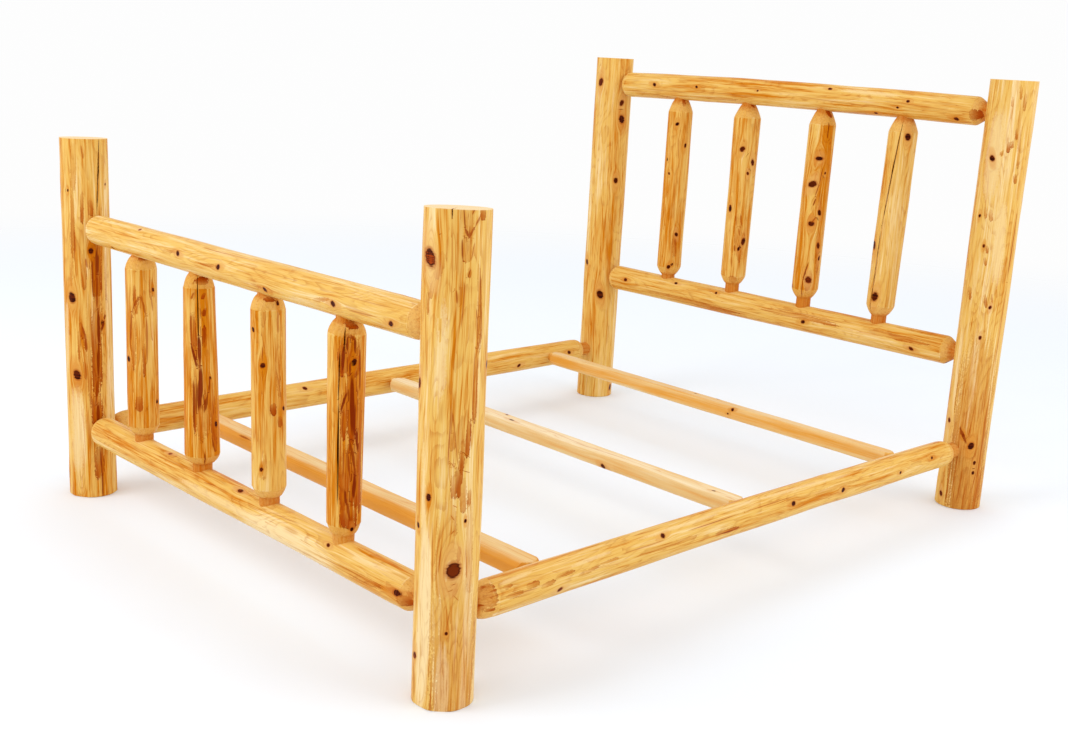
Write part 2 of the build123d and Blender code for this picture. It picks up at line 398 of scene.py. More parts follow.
def knotted_radius(log, s, angle):
    """A knot stands in a low swelling, and a dark one has shrunk into a pit.

    With q the squared distance in knot sizes, the swelling is exp(-q / spread) high and the pit is
    exp(-edge q^2) deep.
    """
    radius = stroked_radius(log, s, angle)
    for mark in log.marks:
        across, along = knot_distance(log, s, angle, mark, KNOT_STRETCH)
        apart = (across**2 + along**2) / mark.size**2
        radius = radius + KNOT_RISE * mark.size * np.exp(-apart / RISE_SPREAD)
        radius = radius - PIT_DEPTH * mark.dark * np.exp(-(apart**2) * PIT_EDGE)
    return radius


# %% [markdown]
# The ends come next. A tenon cutter leaves a bare tenon and then a shoulder, a cone or a dome, and a
# saw leaves a flat end with an eased rim. A cutter could be modelled and subtracted, but each end is
# round, so an envelope does the same: a radius for each distance, and the log is what fits inside.

# %% Cut the ends
RIM_SLACK = 0.004
PAST_SHOULDER = 2


def end_radius(log, s):
    """Envelope of the two ends: a rounded rim where sawn, else tenon and then shoulder.

    A cone rises in proportion and a dome as a quarter of an ellipse, sqrt(1 - (1 - rise)^2). The
    end's dome number mixes the two.
    """
    envelope = np.full_like(s, NO_CUT)
    for end, distance, radius in zip(log.ends, (s, log.length - s), log.radii):
        if isinstance(end, Sawn):
            inside = np.clip(1.0 - distance / end.edge, 0.0, 1.0)
            eased = end.edge * (1 - np.sqrt(1 - inside**2))
            envelope = np.minimum(envelope, radius + RIM_SLACK - eased)
            continue
        rise = np.maximum((distance - end.tenon - end.bare) / end.shoulder, 0.0)
        arch = np.where(rise < 1.0, np.sqrt(np.maximum(1 - (1 - rise) ** 2, 0.0)), rise * PAST_SHOULDER)
        rise = rise + end.dome * (arch - rise)
        full = math.hypot(*log.section) if log.section else radius
        envelope = np.minimum(envelope, end.tenon_radius + (full - end.tenon_radius) * rise)
    return envelope


def limited_radius(log, s, angle, radius):
    """Keeps a post within its packed width: planes through the CAD node's own outermost faces."""
    for outward in log.limits:
        shift = axis_offset(log, s) @ np.array((math.cos(outward), math.sin(outward)))
        side = flat_radius(log.cad_radius - shift, wrapped(angle - outward))
        radius = soft_least(radius, side, SOFT_EDGE)
    return radius


# %% [markdown]
# The outside of a log dries first, shrinks and tears open along the fibres. Such a check could be a
# dark line in the finish, but light has to fall into a wide one. So it is a real groove between two
# places, deepest in its middle.

# %% Open the checks and finish the skin
SHOULDER_SOFTNESS = 0.003
CUTTER_RIPPLE, RIPPLE_RATE = 0.010, 5
UNCUT = -0.009
TENON_SLACK = 0.001
CHECK_STEEPNESS, DEEPEST_CHECK = 5.0, 0.005


def band_place(log, s, angle, band):
    """Across a band in metres, along it from -1 to 1, and metres outside its outline."""
    share = (s - band.s0) / (band.s1 - band.s0)
    middle = band.angle0 + wrapped(band.angle1 - band.angle0) * np.clip(share, 0.0, 1.0)
    across = wrapped(angle - log.turn(s) - middle) * plain_radius(log, s)
    beyond = np.maximum(np.abs(share - 0.5) - 0.5, 0.0) * abs(band.s1 - band.s0)
    outside = np.hypot(np.maximum(np.abs(across) - band.half_width, 0.0), beyond)
    return across, 2 * share - 1, outside


def skin(log, s, angle):
    """Radius of the finished log, and how far below the peeled skin the tenon cutter went.

    A check is a groove with the section and the floor of an ellipse: depth sqrt(1 - a^2 - b^2).
    """
    peeled = knotted_radius(log, s, angle)
    envelope = end_radius(log, s)
    if isinstance(log.ends[0], Sawn):
        cut = np.full_like(s, UNCUT)
        radius = limited_radius(log, s, angle, np.minimum(peeled, envelope))
    else:
        envelope = envelope * (1.0 + CUTTER_RIPPLE * log.growth(RIPPLE_RATE * s, angle))
        cut = peeled - envelope
        radius = soft_least(peeled, envelope, SHOULDER_SOFTNESS)
        bare = np.minimum(s - log.ends[0].tenon, log.length - s - log.ends[1].tenon)
        radius = np.where(bare < TENON_SLACK, np.minimum(radius, log.ends[0].tenon_radius), radius)
    for crack in log.cracks:
        across, along, _ = band_place(log, s, angle, crack)
        inside = np.clip(1.0 - (across / crack.half_width) ** 2 - along**2, 0.0, 1.0)
        radius = radius - min(CHECK_STEEPNESS * crack.half_width, DEEPEST_CHECK) * np.sqrt(inside)
    return radius, cut


# %% [markdown]
# ## From numbers to a mesh
# The skin is laid on a grid: one direction runs along the log, over the ends to their middles, and
# the other runs round it. Columns crowd where a check opens, so that its thin groove is real. A
# remeshed sculpture would need millions of faces to hold the same groove.

# %% Place the skin in space
TILT_POWER = 8


def axis_offset(log, s):
    """Sideways offset of the axis: straight between its end offsets, plus a bow 4x(1 - x)."""
    share = np.clip(s / log.length, 0.0, 1.0)[..., None]
    ends = np.array(log.shifts)
    return ends[0] * (1 - share) + ends[1] * share + np.array(log.bow) * 4 * share * (1 - share)


def lean(log, s, u, v):
    """How far a slanted saw cut lifts the log's end, at u and v along its two cross directions.

    Two slopes times the place, faded by a high power of the share of the length.
    """
    share = np.clip(s / log.length, 0.0, 1.0)
    return share**TILT_POWER * (log.tilt[0] * u + log.tilt[1] * v)


def place(log, s, angle, radius):
    """Points from distance along, angle and radius: axis, plus its offset, plus the radius outwards."""
    offset = axis_offset(log, s)
    u, v = radius * np.cos(angle), radius * np.sin(angle)
    along = (s + lean(log, s, u, v))[..., None]
    u, v = offset[..., :1] + u[..., None], offset[..., 1:] + v[..., None]
    return log.start + log.axis * along + log.first * u + log.second * v


# %% Crowd the columns at the checks
STEP_ROUND = 0.0034
CROWD_STEP, CROWD_MARGIN = 0.0008, 0.004
LEAST_GAP = 0.0002


def columns(log):
    """Angles of the grid's columns: evenly spaced, with more beside each check."""
    radius = max(log.radii)
    step = STEP_ROUND / 2 if log.section else STEP_ROUND
    crowds = [np.linspace(0, 2 * np.pi, round(2 * np.pi * radius / step), endpoint=False)]
    for crack in log.cracks:
        reach = abs(wrapped(crack.angle1 - crack.angle0)) / 2 + CROWD_MARGIN / radius
        count = int(2 * reach * radius / CROWD_STEP)
        crowds.append((crack.angle0 + crack.angle1) / 2 + np.linspace(-reach, reach, count))
    angles = np.sort(np.concatenate(crowds) % (2 * np.pi))
    return angles[np.append(np.diff(angles) > LEAST_GAP / radius, True)]


# %% Join the rings into a mesh
STEP_ALONG = 0.004
CAP_RINGS = 10
RIM, RIM_RINGS = 0.012, 9


def grid_mesh(name, points, first_pole, last_pole):
    """Closed mesh from rings of points: quads between rings, and a fan of triangles at each pole."""
    rings, count = points.shape[:2]
    vertices = np.vstack((points.reshape(-1, 3), first_pole, last_pole))
    ring = np.arange(count)
    after = np.roll(ring, -1)
    rows = np.arange(rings - 1)[:, None] * count
    here, there = rows + ring, rows + after
    quads = np.stack((here, there, there + count, here + count), -1).reshape(-1, 4)
    last = (rings - 1) * count
    start_fan = np.stack((np.full(count, rings * count), after, ring), -1)
    end_fan = np.stack((np.full(count, rings * count + 1), last + ring, last + after), -1)
    mesh = bpy.data.meshes.new(name)
    mesh.vertices.add(len(vertices))
    mesh.vertices.foreach_set("co", vertices.astype(np.float32).ravel())
    corners = np.concatenate((quads.ravel(), start_fan.ravel(), end_fan.ravel()))
    sizes = np.concatenate((np.full(len(quads), 4), np.full(2 * count, 3)))
    mesh.loops.add(len(corners))
    mesh.loops.foreach_set("vertex_index", corners.astype(np.int32))
    mesh.polygons.add(len(sizes))
    starts = np.concatenate(((0,), np.cumsum(sizes)[:-1]))
    mesh.polygons.foreach_set("loop_start", starts.astype(np.int32))
    mesh.update(calc_edges=True)
    mesh.validate()
    return mesh


def log_mesh(log):
    """Rings over the first end, along the skin and over the last end, as one closed mesh."""
    fine = np.linspace(0, RIM, RIM_RINGS)
    body = np.linspace(RIM, log.length - RIM, round((log.length - 2 * RIM) / STEP_ALONG) + 1)[1:-1]
    s_side = np.concatenate((fine, body, log.length - fine[::-1]))
    cap = np.arange(1, CAP_RINGS) / CAP_RINGS
    s = np.concatenate((np.zeros(CAP_RINGS - 1), s_side, np.full(CAP_RINGS - 1, log.length)))
    share = np.concatenate((cap, np.ones(len(s_side)), cap[::-1]))
    s_grid, angle_grid = np.broadcast_arrays(s[:, None], columns(log)[None, :])
    angle_grid = angle_grid + log.turn(s_grid)
    radius, _ = skin(log, s_grid, angle_grid)
    points = place(log, s_grid, angle_grid, radius * share[:, None])
    poles = place(log, np.array((0.0, log.length)), np.zeros(2), np.zeros(2))
    return grid_mesh(log.node, points, poles[0], poles[1])


# %% [markdown]
# ## What the wood remembers
# Fibres part round a knot as a stream parts round a post, and that has a formula: a line that would
# pass at a distance t is pushed so that t (1 - a^2 / rho^2) stays the same along it. Each vertex
# keeps the place it would have in straight wood, and the materials draw their streaks there. The
# growth rings swell round a knot, and where a stroke cuts across them their edges show as ovals and
# pointed arches, so each vertex also keeps its depth below the outermost ring. Painting these by
# hand on a texture would be slow, and it would end at each piece's seam.

# %% Follow the fibres and the rings
MILLIMETRES = 1000.0
PARTING_STRETCH, PARTING_REACH = 2.4, 1.3
RING_WANDER = 0.0015
RING_STRETCH, RING_RISE, RING_SPREAD = 2.2, 0.45, 3.2


def straight_place(log, s, angle, radius):
    """Place in straight wood: the angle is untwisted and pushed back round each knot."""
    grain = angle - log.turn(s)
    shift = np.zeros_like(grain)
    for mark in log.marks:
        across, along = knot_distance(log, s, angle, mark, PARTING_STRETCH)
        reach = (PARTING_REACH * mark.size) ** 2
        apart = np.maximum(across**2 + along**2, reach)
        nearby = (1 + np.cos(grain - mark.angle)) / 2
        shift = shift - nearby * across * reach / apart / plain_radius(log, s)
    grain = grain + shift
    return np.stack((radius * np.cos(grain), radius * np.sin(grain), s), -1)


def ring_depth(log, s, angle, radius):
    """Depth in millimetres below the outermost ring, which wanders and swells round each knot."""
    outer = plain_radius(log, s) + math.hypot(*log.pith)
    outer = outer + RING_WANDER * log.growth(s, angle - log.turn(s))
    for mark in log.marks:
        across, along = knot_distance(log, s, angle, mark, RING_STRETCH)
        apart = (across**2 + along**2) / (RING_SPREAD * mark.size**2)
        outer = outer + RING_RISE * mark.size * np.exp(-apart)
    u, v = radius * np.cos(angle) - log.pith[0], radius * np.sin(angle) - log.pith[1]
    return (outer - np.hypot(u, v)) * MILLIMETRES


# %% [markdown]
# A knot may be smaller than a face of the mesh, and a distance kept at its corners would blur it.
# The two coordinates of a point as seen from the knot's middle are kept instead: they change evenly
# over a face, so the material can work out the distance again exactly, and the knot is sharp. The
# third number is the plain distance. It only opens the gate near a knot, because the coordinates
# jump where one knot's ground ends and the next one's begins. Seams are kept the same way. Bark is
# wide and its outline is ragged, so for that it is enough to keep how far inside it a vertex lies.

# %% Find the nearest knot, seam and bark
NOWHERE, FAR_OUTSIDE = 90.0, 3.0
KNOT_LEAN, LEAN_SCATTER = 0.25, 37.0
SEAM_TIE = 0.01


def nearest(shape, far, seen):
    """What each vertex keeps of the nearest mark: for every mark seen, its distance comes first."""
    best = [np.full(shape, far)] + [np.zeros(shape)] * 3
    for mark in seen:
        nearer = mark[0] < best[0]
        best = [np.where(nearer, new, old) for new, old in zip(mark, best)]
    return best


def nearest_knot(log, s, angle):
    """Across and along in the nearest knot's own sizes, the distance, and how dark it is.

    A knot is an ellipse that leans: its across gains a share of its along, more or less by chance.
    """

    def knots():
        for mark in log.marks:
            across, along = knot_distance(log, s, angle, mark, mark.tall)
            across = across + KNOT_LEAN * math.sin(LEAN_SCATTER * mark.angle) * along
            yield np.hypot(across, along) / mark.size, across / mark.size, along / mark.size, mark.dark

    distance, across, along, dark = nearest(s.shape, NOWHERE, knots())
    return np.stack((across, along, distance), -1), dark


def nearest_seam(log, s, angle):
    """Across in half widths, along from -1 to 1, millimetres outside, and how dark the seam is."""

    def seams():
        for band in log.seams:
            across, along, outside = band_place(log, s, angle, band)
            across = across / band.half_width
            yield outside * MILLIMETRES + SEAM_TIE * np.abs(across), across, along, band.dark

    outside, across, along, dark = nearest(s.shape, NOWHERE, seams())
    return np.stack((across, along, outside), -1), dark


def nearest_patch_mark(log, s, angle):
    """How far inside a patch of bark, 1 - a^2 - b^4, which is 0 at its outline; b; and how dark."""

    def patches():
        for band in log.patches:
            across, along, _ = band_place(log, s, angle, band)
            inside = 1.0 - (across / band.half_width) ** 2 - along**4
            yield -inside, along, band.dark

    outside, along, dark = nearest(s.shape, FAR_OUTSIDE, patches())[:3]
    return np.stack((-outside, along, dark), -1)


# %% [markdown]
# All of this goes into the mesh as named attributes, which a material can read. It could be written
# while the grid is laid. Instead it is worked out afterwards, from where each vertex is, so a mesh
# that a Boolean has cut remembers it too.

# %% Give every vertex its numbers
END_SKIN, POCKET_SKIN = 0.0003, 0.0015
FIBRE_SHIFT = 5.0


def keep(mesh, name, values):
    """Stores one number or one vector for each vertex."""
    kind = "FLOAT_VECTOR" if values.ndim > 1 else "FLOAT"
    attribute = mesh.attributes.new(name, kind, "POINT")
    field = "vector" if values.ndim > 1 else "value"
    attribute.data.foreach_set(field, values.astype(np.float32).ravel())


def read_points(mesh):
    """The mesh's vertices as an array."""
    flat = np.empty(len(mesh.vertices) * 3, np.float32)
    mesh.vertices.foreach_get("co", flat)
    return flat.reshape(-1, 3).astype(float)


def remember(log, mesh):
    """Gives every vertex of a log what its material reads, from nothing but where the vertex is.

    Each log's fibres are shifted by chance, so that no two logs are cut from the same noise.
    """
    offset = read_points(mesh) - log.start
    s = offset @ log.axis
    aside = np.stack((offset @ log.first, offset @ log.second), -1) - axis_offset(log, s)
    s = s - lean(log, s, aside[:, 0], aside[:, 1])
    radius, angle = np.hypot(aside[:, 0], aside[:, 1]), np.arctan2(aside[:, 1], aside[:, 0])
    s_in = np.clip(s, 0.0, log.length)
    surface, cut = skin(log, s_in, angle)
    knot, knot_dark = nearest_knot(log, s_in, angle)
    seam, seam_dark = nearest_seam(log, s_in, angle)
    at_end = np.minimum(s_in, log.length - s_in) < END_SKIN
    carved = np.where(at_end, UNCUT, np.maximum(cut, surface - radius - POCKET_SKIN)) * MILLIMETRES
    elsewhere = log.rng.uniform(-FIBRE_SHIFT, FIBRE_SHIFT, 3)
    keep(mesh, "fibre", straight_place(log, s, angle, radius) + elsewhere)
    keep(mesh, "depth", ring_depth(log, s_in, angle, radius))
    keep(mesh, "knot", knot)
    keep(mesh, "knot_dark", knot_dark)
    keep(mesh, "seam", seam)
    keep(mesh, "seam_dark", seam_dark)
    keep(mesh, "patch_mark", nearest_patch_mark(log, s_in, angle))
    keep(mesh, "carved", carved)
    keep(mesh, "shaved", (plain_radius(log, s_in) - surface) * MILLIMETRES)
    keep(mesh, "end_grain", at_end.astype(float))
    # The tone is the log's own colour, plus painted shade on a slat's long sides.
    keep(mesh, "tone", log.tone + log.side_shade * np.cos(angle) ** 4)


# %% [markdown]
# ## Shader maths as sums
# A wood finish is arithmetic on masks, and in a node tree that arithmetic is hard to read. It could
# be wired by hand in the editor. Here a small class wraps a socket, and adding, subtracting or
# multiplying two of them adds the Math node. Colours go through Mix nodes, because a Math node would
# turn them grey. Wood is never even, so most masks also have some noise added before their edge is
# drawn, and that sum has a helper of its own.

# %% Wrap sockets in a class
class Wire:
    """One output socket. Python's own operators on it add Math nodes to its material."""

    def __init__(self, finish, socket):
        self.finish, self.socket = finish, socket

    def join(self, operation, first, second):
        return self.finish.add("ShaderNodeMath", {"operation": operation}, {0: first, 1: second})

    def __add__(self, other):
        return self.join("ADD", self, other)

    def __radd__(self, other):
        return self.join("ADD", other, self)

    def __sub__(self, other):
        return self.join("SUBTRACT", self, other)

    def __rsub__(self, other):
        return self.join("SUBTRACT", other, self)

    def __mul__(self, other):
        return self.join("MULTIPLY", self, other)

    def __rmul__(self, other):
        return self.join("MULTIPLY", other, self)


def uneven(value, *swings):
    """Adds noises to a value. Each swings evenly about 0, because 0.5 is taken off, times its weight."""
    for noise, weight in swings:
        value = value + (noise - 0.5) * weight
    return value


def linear(red, green, blue):
    """Scene colour from the 0 to 255 numbers of a screen: ((c + 0.055) / 1.055) ^ 2.4 above 0.04."""
    shares = (np.array((red, green, blue)) / 255).tolist()
    channels = [c / 12.92 if c <= 0.04045 else ((c + 0.055) / 1.055) ** 2.4 for c in shares]
    return (*channels, 1.0)


# %% [markdown]
# A finish is one material while it is being built. Every node is added by one method, and the other
# methods only name the few kinds that wood needs: noise that is long along the grain, a smooth step,
# a mix of two colours, a clear stain and a bump.

# %% Build a material from wires
NOISE_ROUGHNESS = 0.55


class Finish:
    """A material under construction."""

    def __init__(self, name):
        self.material = bpy.data.materials.new(name)
        self.material.use_nodes = True
        self.tree = self.material.node_tree
        self.shader = next(n for n in self.tree.nodes if n.type == "BSDF_PRINCIPLED")

    def add(self, kind, settings, sockets, output=0):
        """Adds a node: its settings first, then each socket's value or link. Gives one output."""
        node = self.tree.nodes.new(kind)
        for name, value in settings.items():
            setattr(node, name, value)
        for name, value in sockets.items():
            self.feed(node.inputs[name], value)
        return Wire(self, node.outputs[output])

    def feed(self, socket, value):
        """Links a wire to a socket, or sets a plain value."""
        if isinstance(value, Wire):
            self.tree.links.new(value.socket, socket)
        else:
            socket.default_value = value

    def number(self, name):
        """A number that each vertex keeps."""
        return self.add("ShaderNodeAttribute", {"attribute_name": name}, {}, "Fac")

    def vector(self, name):
        """A vector that each vertex keeps."""
        return self.add("ShaderNodeAttribute", {"attribute_name": name}, {}, "Vector")

    def parts(self, name):
        """The three numbers of a vector attribute."""
        vector = self.vector(name)
        return [self.add("ShaderNodeSeparateXYZ", {}, {0: vector}, part) for part in "XYZ"]

    def noise(self, vector, across, along, detail=3.0):
        """Noise from 0 to 1 whose blotches have these sizes across and along the wood."""
        rates = (1 / across, 1 / across, 1 / along)
        scaled = self.add("ShaderNodeVectorMath", {"operation": "MULTIPLY"}, {0: vector, 1: rates})
        sockets = {"Vector": scaled, "Scale": 1.0, "Detail": detail, "Roughness": NOISE_ROUGHNESS}
        return self.add("ShaderNodeTexNoise", {"noise_dimensions": "3D"}, sockets)

    def step(self, value, low, high):
        """0 below low, 1 above high, with a smooth step between. It falls if low is above high."""
        settings = {"interpolation_type": "SMOOTHSTEP"}
        sockets = {"Value": value, "From Min": low, "From Max": high}
        return self.add("ShaderNodeMapRange", settings, sockets)

    def function(self, operation, value):
        """A Math node of one number, such as its fraction or its square root."""
        return self.add("ShaderNodeMath", {"operation": operation}, {0: value})

    def mix(self, factor, first, second):
        """The first colour where the factor is 0 and the second where it is 1."""
        return self.add("ShaderNodeMix", {"data_type": "RGBA"}, {0: factor, 6: first, 7: second}, 2)

    def stain(self, amount, colour, passed):
        """A clear stain: it multiplies each channel by the share of light that it lets pass."""
        settings = {"data_type": "RGBA", "blend_type": "MULTIPLY"}
        return self.add("ShaderNodeMix", settings, {0: amount, 6: colour, 7: passed}, 2)

    def bump(self, height, distance, strength):
        """A tilted normal: the surface seems raised by the height times the distance."""
        sockets = {"Height": height, "Distance": distance, "Strength": strength}
        return self.add("ShaderNodeBump", {}, sockets)

    def dress(self, **sockets):
        """Feeds the surface shader."""
        for name, value in sockets.items():
            self.feed(self.shader.inputs[name.replace("_", " ")], value)
        return self.material


# %% [markdown]
# ## The colour of the grain
# Lacquered pine is pale where the knife went deep into the sapwood and amber where it only just
# took the bark. Over that lie fine streaks, and dark late-wood lines where a flat crosses the growth
# rings. A wood texture node draws perfect rings, so the lines come from the stored depth instead,
# and they bend wherever the log does.

# %% Colour the grain
PALE, GOLD, AMBER = linear(241, 212, 156), linear(229, 183, 94), linear(206, 122, 8)
LATE, RUST, UMBER = linear(172, 78, 0), linear(160, 58, 0), linear(122, 30, 0)
NOISE_SIZES = ((0.050, 0.50), (0.013, 0.24), (0.0048, 0.16), (0.0021, 0.07))
LOG_YEAR = 1.25


def grain_noises(finish, fibre):
    """Four scales of noise along the fibres: broad, band, streak and hair."""
    return [finish.noise(fibre, across, along) for across, along in NOISE_SIZES]


def late_wood(finish, broad, streak, year_width):
    """Thin dark lines at the end of each year's ring: slow to darken, quick to end.

    The year's width is in millimetres, as the stored depth is.
    """
    years = finish.number("depth") * (1 / year_width) + broad * 2.2 + streak * 0.5
    year = finish.function("FRACT", years)
    return finish.step(year, 0.50, 0.92) * finish.step(year, 1.0, 0.95)


def grain_colour(finish, noises, tone):
    """Pale to gold to amber by tone, noise and the knife's depth, with late-wood lines over it."""
    broad, band, streak, hair = noises
    shallow = finish.step(finish.number("shaved"), 2.6, -0.4)
    level = uneven(tone, (broad, 1.0), (band, 1.1), (streak, 1.2), (hair, 0.9))
    level = uneven(level, (shallow, 0.60)) - 0.06
    colour = finish.mix(finish.step(level, -0.15, 0.45), PALE, GOLD)
    colour = finish.mix(finish.step(level, 0.45, 0.98), colour, AMBER)
    lines = late_wood(finish, broad, streak, LOG_YEAR) * finish.step(band, 0.36, 0.62)
    colour = finish.mix(lines * 0.33, colour, LATE)
    hairs = finish.step(uneven(hair, (streak, 0.5)), 0.58, 0.76)
    return finish.mix(hairs * 0.37, colour, LATE)


# %% [markdown]
# ## Drips of inner bark
# The last of the inner bark stays on as drips: each is a column that narrows upwards and stops at a
# hard lower edge, where the next stroke of the knife began. They could be painted, but a falling saw
# wave does it: the column shows where its noise is higher than the wave, and the wave jumps back at
# each lower edge.

# %% Add the drips
DRIPS_PER_METRE = 7.0


def drips(finish, fibre, noises):
    """How much bark is left, and how near its hard lower edge is."""
    broad, hair = noises[0], noises[3]
    column = finish.noise(fibre, 0.010, 0.60, 2.0)
    along = finish.add("ShaderNodeSeparateXYZ", {}, {0: fibre}, "Z")
    stagger = finish.noise(fibre, 0.022, 5.0, 1.0) * 9.0
    wave = finish.function("FRACT", along * DRIPS_PER_METRE + stagger)
    height = uneven(column, (broad, 0.25), (hair, 0.16)) - wave * 0.20
    left = finish.step(height, 0.525, 0.560)
    edge = left * finish.step(wave, 0.10, 0.0)
    return left, edge


def dripped_colour(finish, colour, fibre, noises, amount):
    """Lays the drips over a colour: amber, with a brown lower edge."""
    left, edge = drips(finish, fibre, noises)
    streak = noises[2]
    colour = finish.mix(left * amount * (0.45 + streak * 0.8), colour, AMBER)
    return finish.mix(edge * amount * 0.7, colour, RUST)


# %% [markdown]
# ## Placed marks
# The knots, checks, lines and bark that were given as picture points come next. Each is an ellipse in
# its own stored coordinates: it is inside where a^2 + b^2 is less than 1.

# %% Lay bark, pale patches, painted shade and painted sheen over a colour
HONEY = (0.74, 0.40, 0.09, 1.0)
BARK_GRIT = (0.0038, 0.0060)


def bark_shade_and_sheen_colour(finish, colour, fibre, noises):
    """Pale patches, bare sapwood and painted sheen, and bark left in a known place, some of it painted
    shade: a stain, darkest at its outline and hard end.
    """
    band, streak, hair = noises[1:]
    inside, along, dark = finish.parts("patch_mark")
    near = finish.step(inside, -2.6, -2.0) * (1 - finish.number("end_grain"))
    grit = finish.noise(fibre, *BARK_GRIT, detail=2.0)
    ragged = uneven(inside, (band, 1.0), (streak, 1.8), (hair, 1.0), (grit, 1.8))
    # Pale patches: bare sapwood on some logs, painted highlight and reflection of the lacquer on others.
    bare = finish.step(ragged, -0.4, 0.9) * finish.step(dark, -0.2, -0.8)
    colour = finish.mix(bare * near * 0.55, colour, PALE)
    # Bark is a honey stain; on the footboard spindles' top cones it is painted shadow of the rail.
    shown = finish.step(ragged, 0.0, 0.22) * near
    fade = 0.35 + 0.65 * finish.step(along, -1.0, 0.5)
    amount = shown * fade * (0.15 + dark * 0.85)
    deep = finish.step(streak * 1.1 + hair * 0.6 + grit * 0.6 + dark * 0.9, 1.30, 2.00)
    colour = finish.stain(amount, colour, HONEY)
    colour = finish.mix(amount * deep * 0.75, colour, RUST)
    rim = shown * finish.step(ragged, 0.50, 0.08) + shown * finish.step(along, 0.80, 1.0) * 0.6
    return finish.mix(rim * fade * dark * 0.70, colour, UMBER)


# %% Lay the checks and lines over a colour
CRACK = linear(66, 18, 0)


def seamed_colour(finish, colour, noises):
    """Open checks and dark lines, with a warm stain beside them. Gives the open share too.

    Only an open check crosses a sawn end, where a line would have no fibre to follow.
    """
    streak, hair = noises[2:]
    across, along, outside = finish.parts("seam")
    dark = finish.number("seam_dark")
    open_check = finish.step(dark, 0.94, 1.0)
    on_skin = 1 - finish.number("end_grain") * (1 - open_check)
    near = finish.step(outside, 7.0, 4.5) * on_skin
    wander = uneven(across, (streak, 3.0))
    apart = wander * wander + along * along
    beside = wander * wander * 0.06 + along * along
    stain = finish.step(uneven(beside, (hair, 0.8)), 1.0, 0.2)
    colour = finish.mix(stain * near * dark * 0.45, colour, AMBER)
    line = finish.step(uneven(apart, (hair, 0.9)), 1.15, 0.55)
    tint = finish.mix(finish.step(dark, 0.60, 0.90), RUST, UMBER)
    tint = finish.mix(open_check, tint, CRACK)
    return finish.mix(line * near * dark, colour, tint), line * near * open_check


# %% Lay the knots over a colour
KNOT_RED, KNOT_BLACK = linear(168, 64, 4), linear(50, 9, 0)
HALO_PALE = linear(240, 206, 140)
KNOT_GRIT = (0.0034, 0.0040)


def knotted_colour(finish, colour, fibre, noises):
    """Knots: a dark or red-brown core with flecks, a ragged dark rim, and a halo around."""
    band, streak, hair = noises[1:]
    across, along, distance = finish.parts("knot")
    dark, near = finish.number("knot_dark"), finish.step(distance, 4.5, 3.5)
    grit = finish.noise(fibre, *KNOT_GRIT, detail=2.0)
    apart = finish.function("SQRT", across * across + along * along)
    ragged = uneven(apart, (grit, 0.6), (streak, 0.5))
    lens = uneven(across * across + along * along * 0.16, (streak, 2.0), (grit, 1.0))
    halo = finish.step(lens, 4.5, 0.6) * near
    colour = finish.mix(halo * 0.55, colour, finish.mix(dark, HALO_PALE, AMBER))
    ring = finish.step(ragged, 1.50, 0.95) * near
    colour = finish.mix(ring * 0.60, colour, RUST)
    flecks = finish.step(uneven(grit, (hair, 0.8)), 0.42, 0.60)
    red = finish.mix(flecks * 0.9, KNOT_RED, KNOT_BLACK)
    inner = finish.mix(finish.step(dark, 0.2, 0.8), red, finish.mix(flecks * 0.25, KNOT_BLACK, RUST))
    core = finish.step(ragged, 1.02, 0.82) * near
    colour = finish.mix(core, colour, inner)
    rim = core * finish.step(ragged, 0.58, 0.84) * finish.step(band, 0.35, 0.55)
    return finish.mix(rim * 0.7, colour, KNOT_BLACK)


# %% [markdown]
# ## Cut ends
# A tenon cutter goes across the fibres, so its cones and domes are even in colour, with faint tool
# rings, and they darken towards the neck: painted shade where the neck goes into its rail, with some
# lacquer gathered there too. A sawn end is pale, with the growth rings round the pith.

# %% Lay the cut ends over a colour
CONE, CONE_DARK, NECK_SHADE_AND_LACQUER = linear(228, 176, 86), linear(212, 140, 44), linear(196, 104, 2)
SAWN = linear(240, 214, 172)
MOTTLE_SIZE = 0.006
SAWN_YEARS = 0.45


def cut_colour(finish, colour, fibre, noises):
    """Cones where the cutter went below the peeled skin, and sawn ends. Gives the cone's share too.

    The depth of the cut and the depth below the outermost ring are in millimetres.
    """
    streak, hair = noises[2:]
    carved = finish.number("carved")
    cone = finish.step(carved, -0.1, 0.3)
    mottle = finish.noise(fibre, MOTTLE_SIZE, MOTTLE_SIZE)
    whittled = finish.mix(finish.step(finish.number("tone"), 0.35, 0.90), CONE, CONE_DARK)
    whittled = finish.mix(finish.step(mottle, 0.45, 0.75) * 0.35, whittled, LATE)
    # Painted shade towards the neck, where the cone goes into its rail, with some lacquer gathered there
    # too.
    neck = finish.step(uneven(carved, (mottle, 10.0)), 7.0, 20.0)
    whittled = finish.mix(neck * (0.1 + streak * 1.4), whittled, NECK_SHADE_AND_LACQUER)
    whittled = finish.mix(finish.step(hair, 0.52, 0.72) * 0.30, whittled, RUST)
    colour = finish.mix(cone * (0.85 + neck * 0.10), colour, whittled)
    year = finish.function("FRACT", finish.number("depth") * SAWN_YEARS + streak * 0.6)
    rings = finish.step(year, 0.55, 0.95) * finish.step(year, 1.0, 0.96)
    sawn = finish.mix(uneven(rings * 0.5, (mottle, 0.5)), SAWN, GOLD)
    return finish.mix(finish.number("end_grain") * 0.9, colour, sawn), cone


# %% [markdown]
# ## The finish of peeled logs
# The layers go on one over the other: the grain and its drips, then the cut ends, then the placed
# bark, knots and checks, which show on a cone as they do on the skin. Clear lacquer over it is a
# smooth coat with a low shine, because a strong one would wash the knots out in so bright a studio.
# The coat stops at an open check, or the check would mirror the studio and turn grey.

# %% Mix the peeled-log finish
LACQUER = {"Roughness": 0.5, "Specular_IOR_Level": 0.0, "Coat_IOR": 1.12, "Coat_Roughness": 0.30}


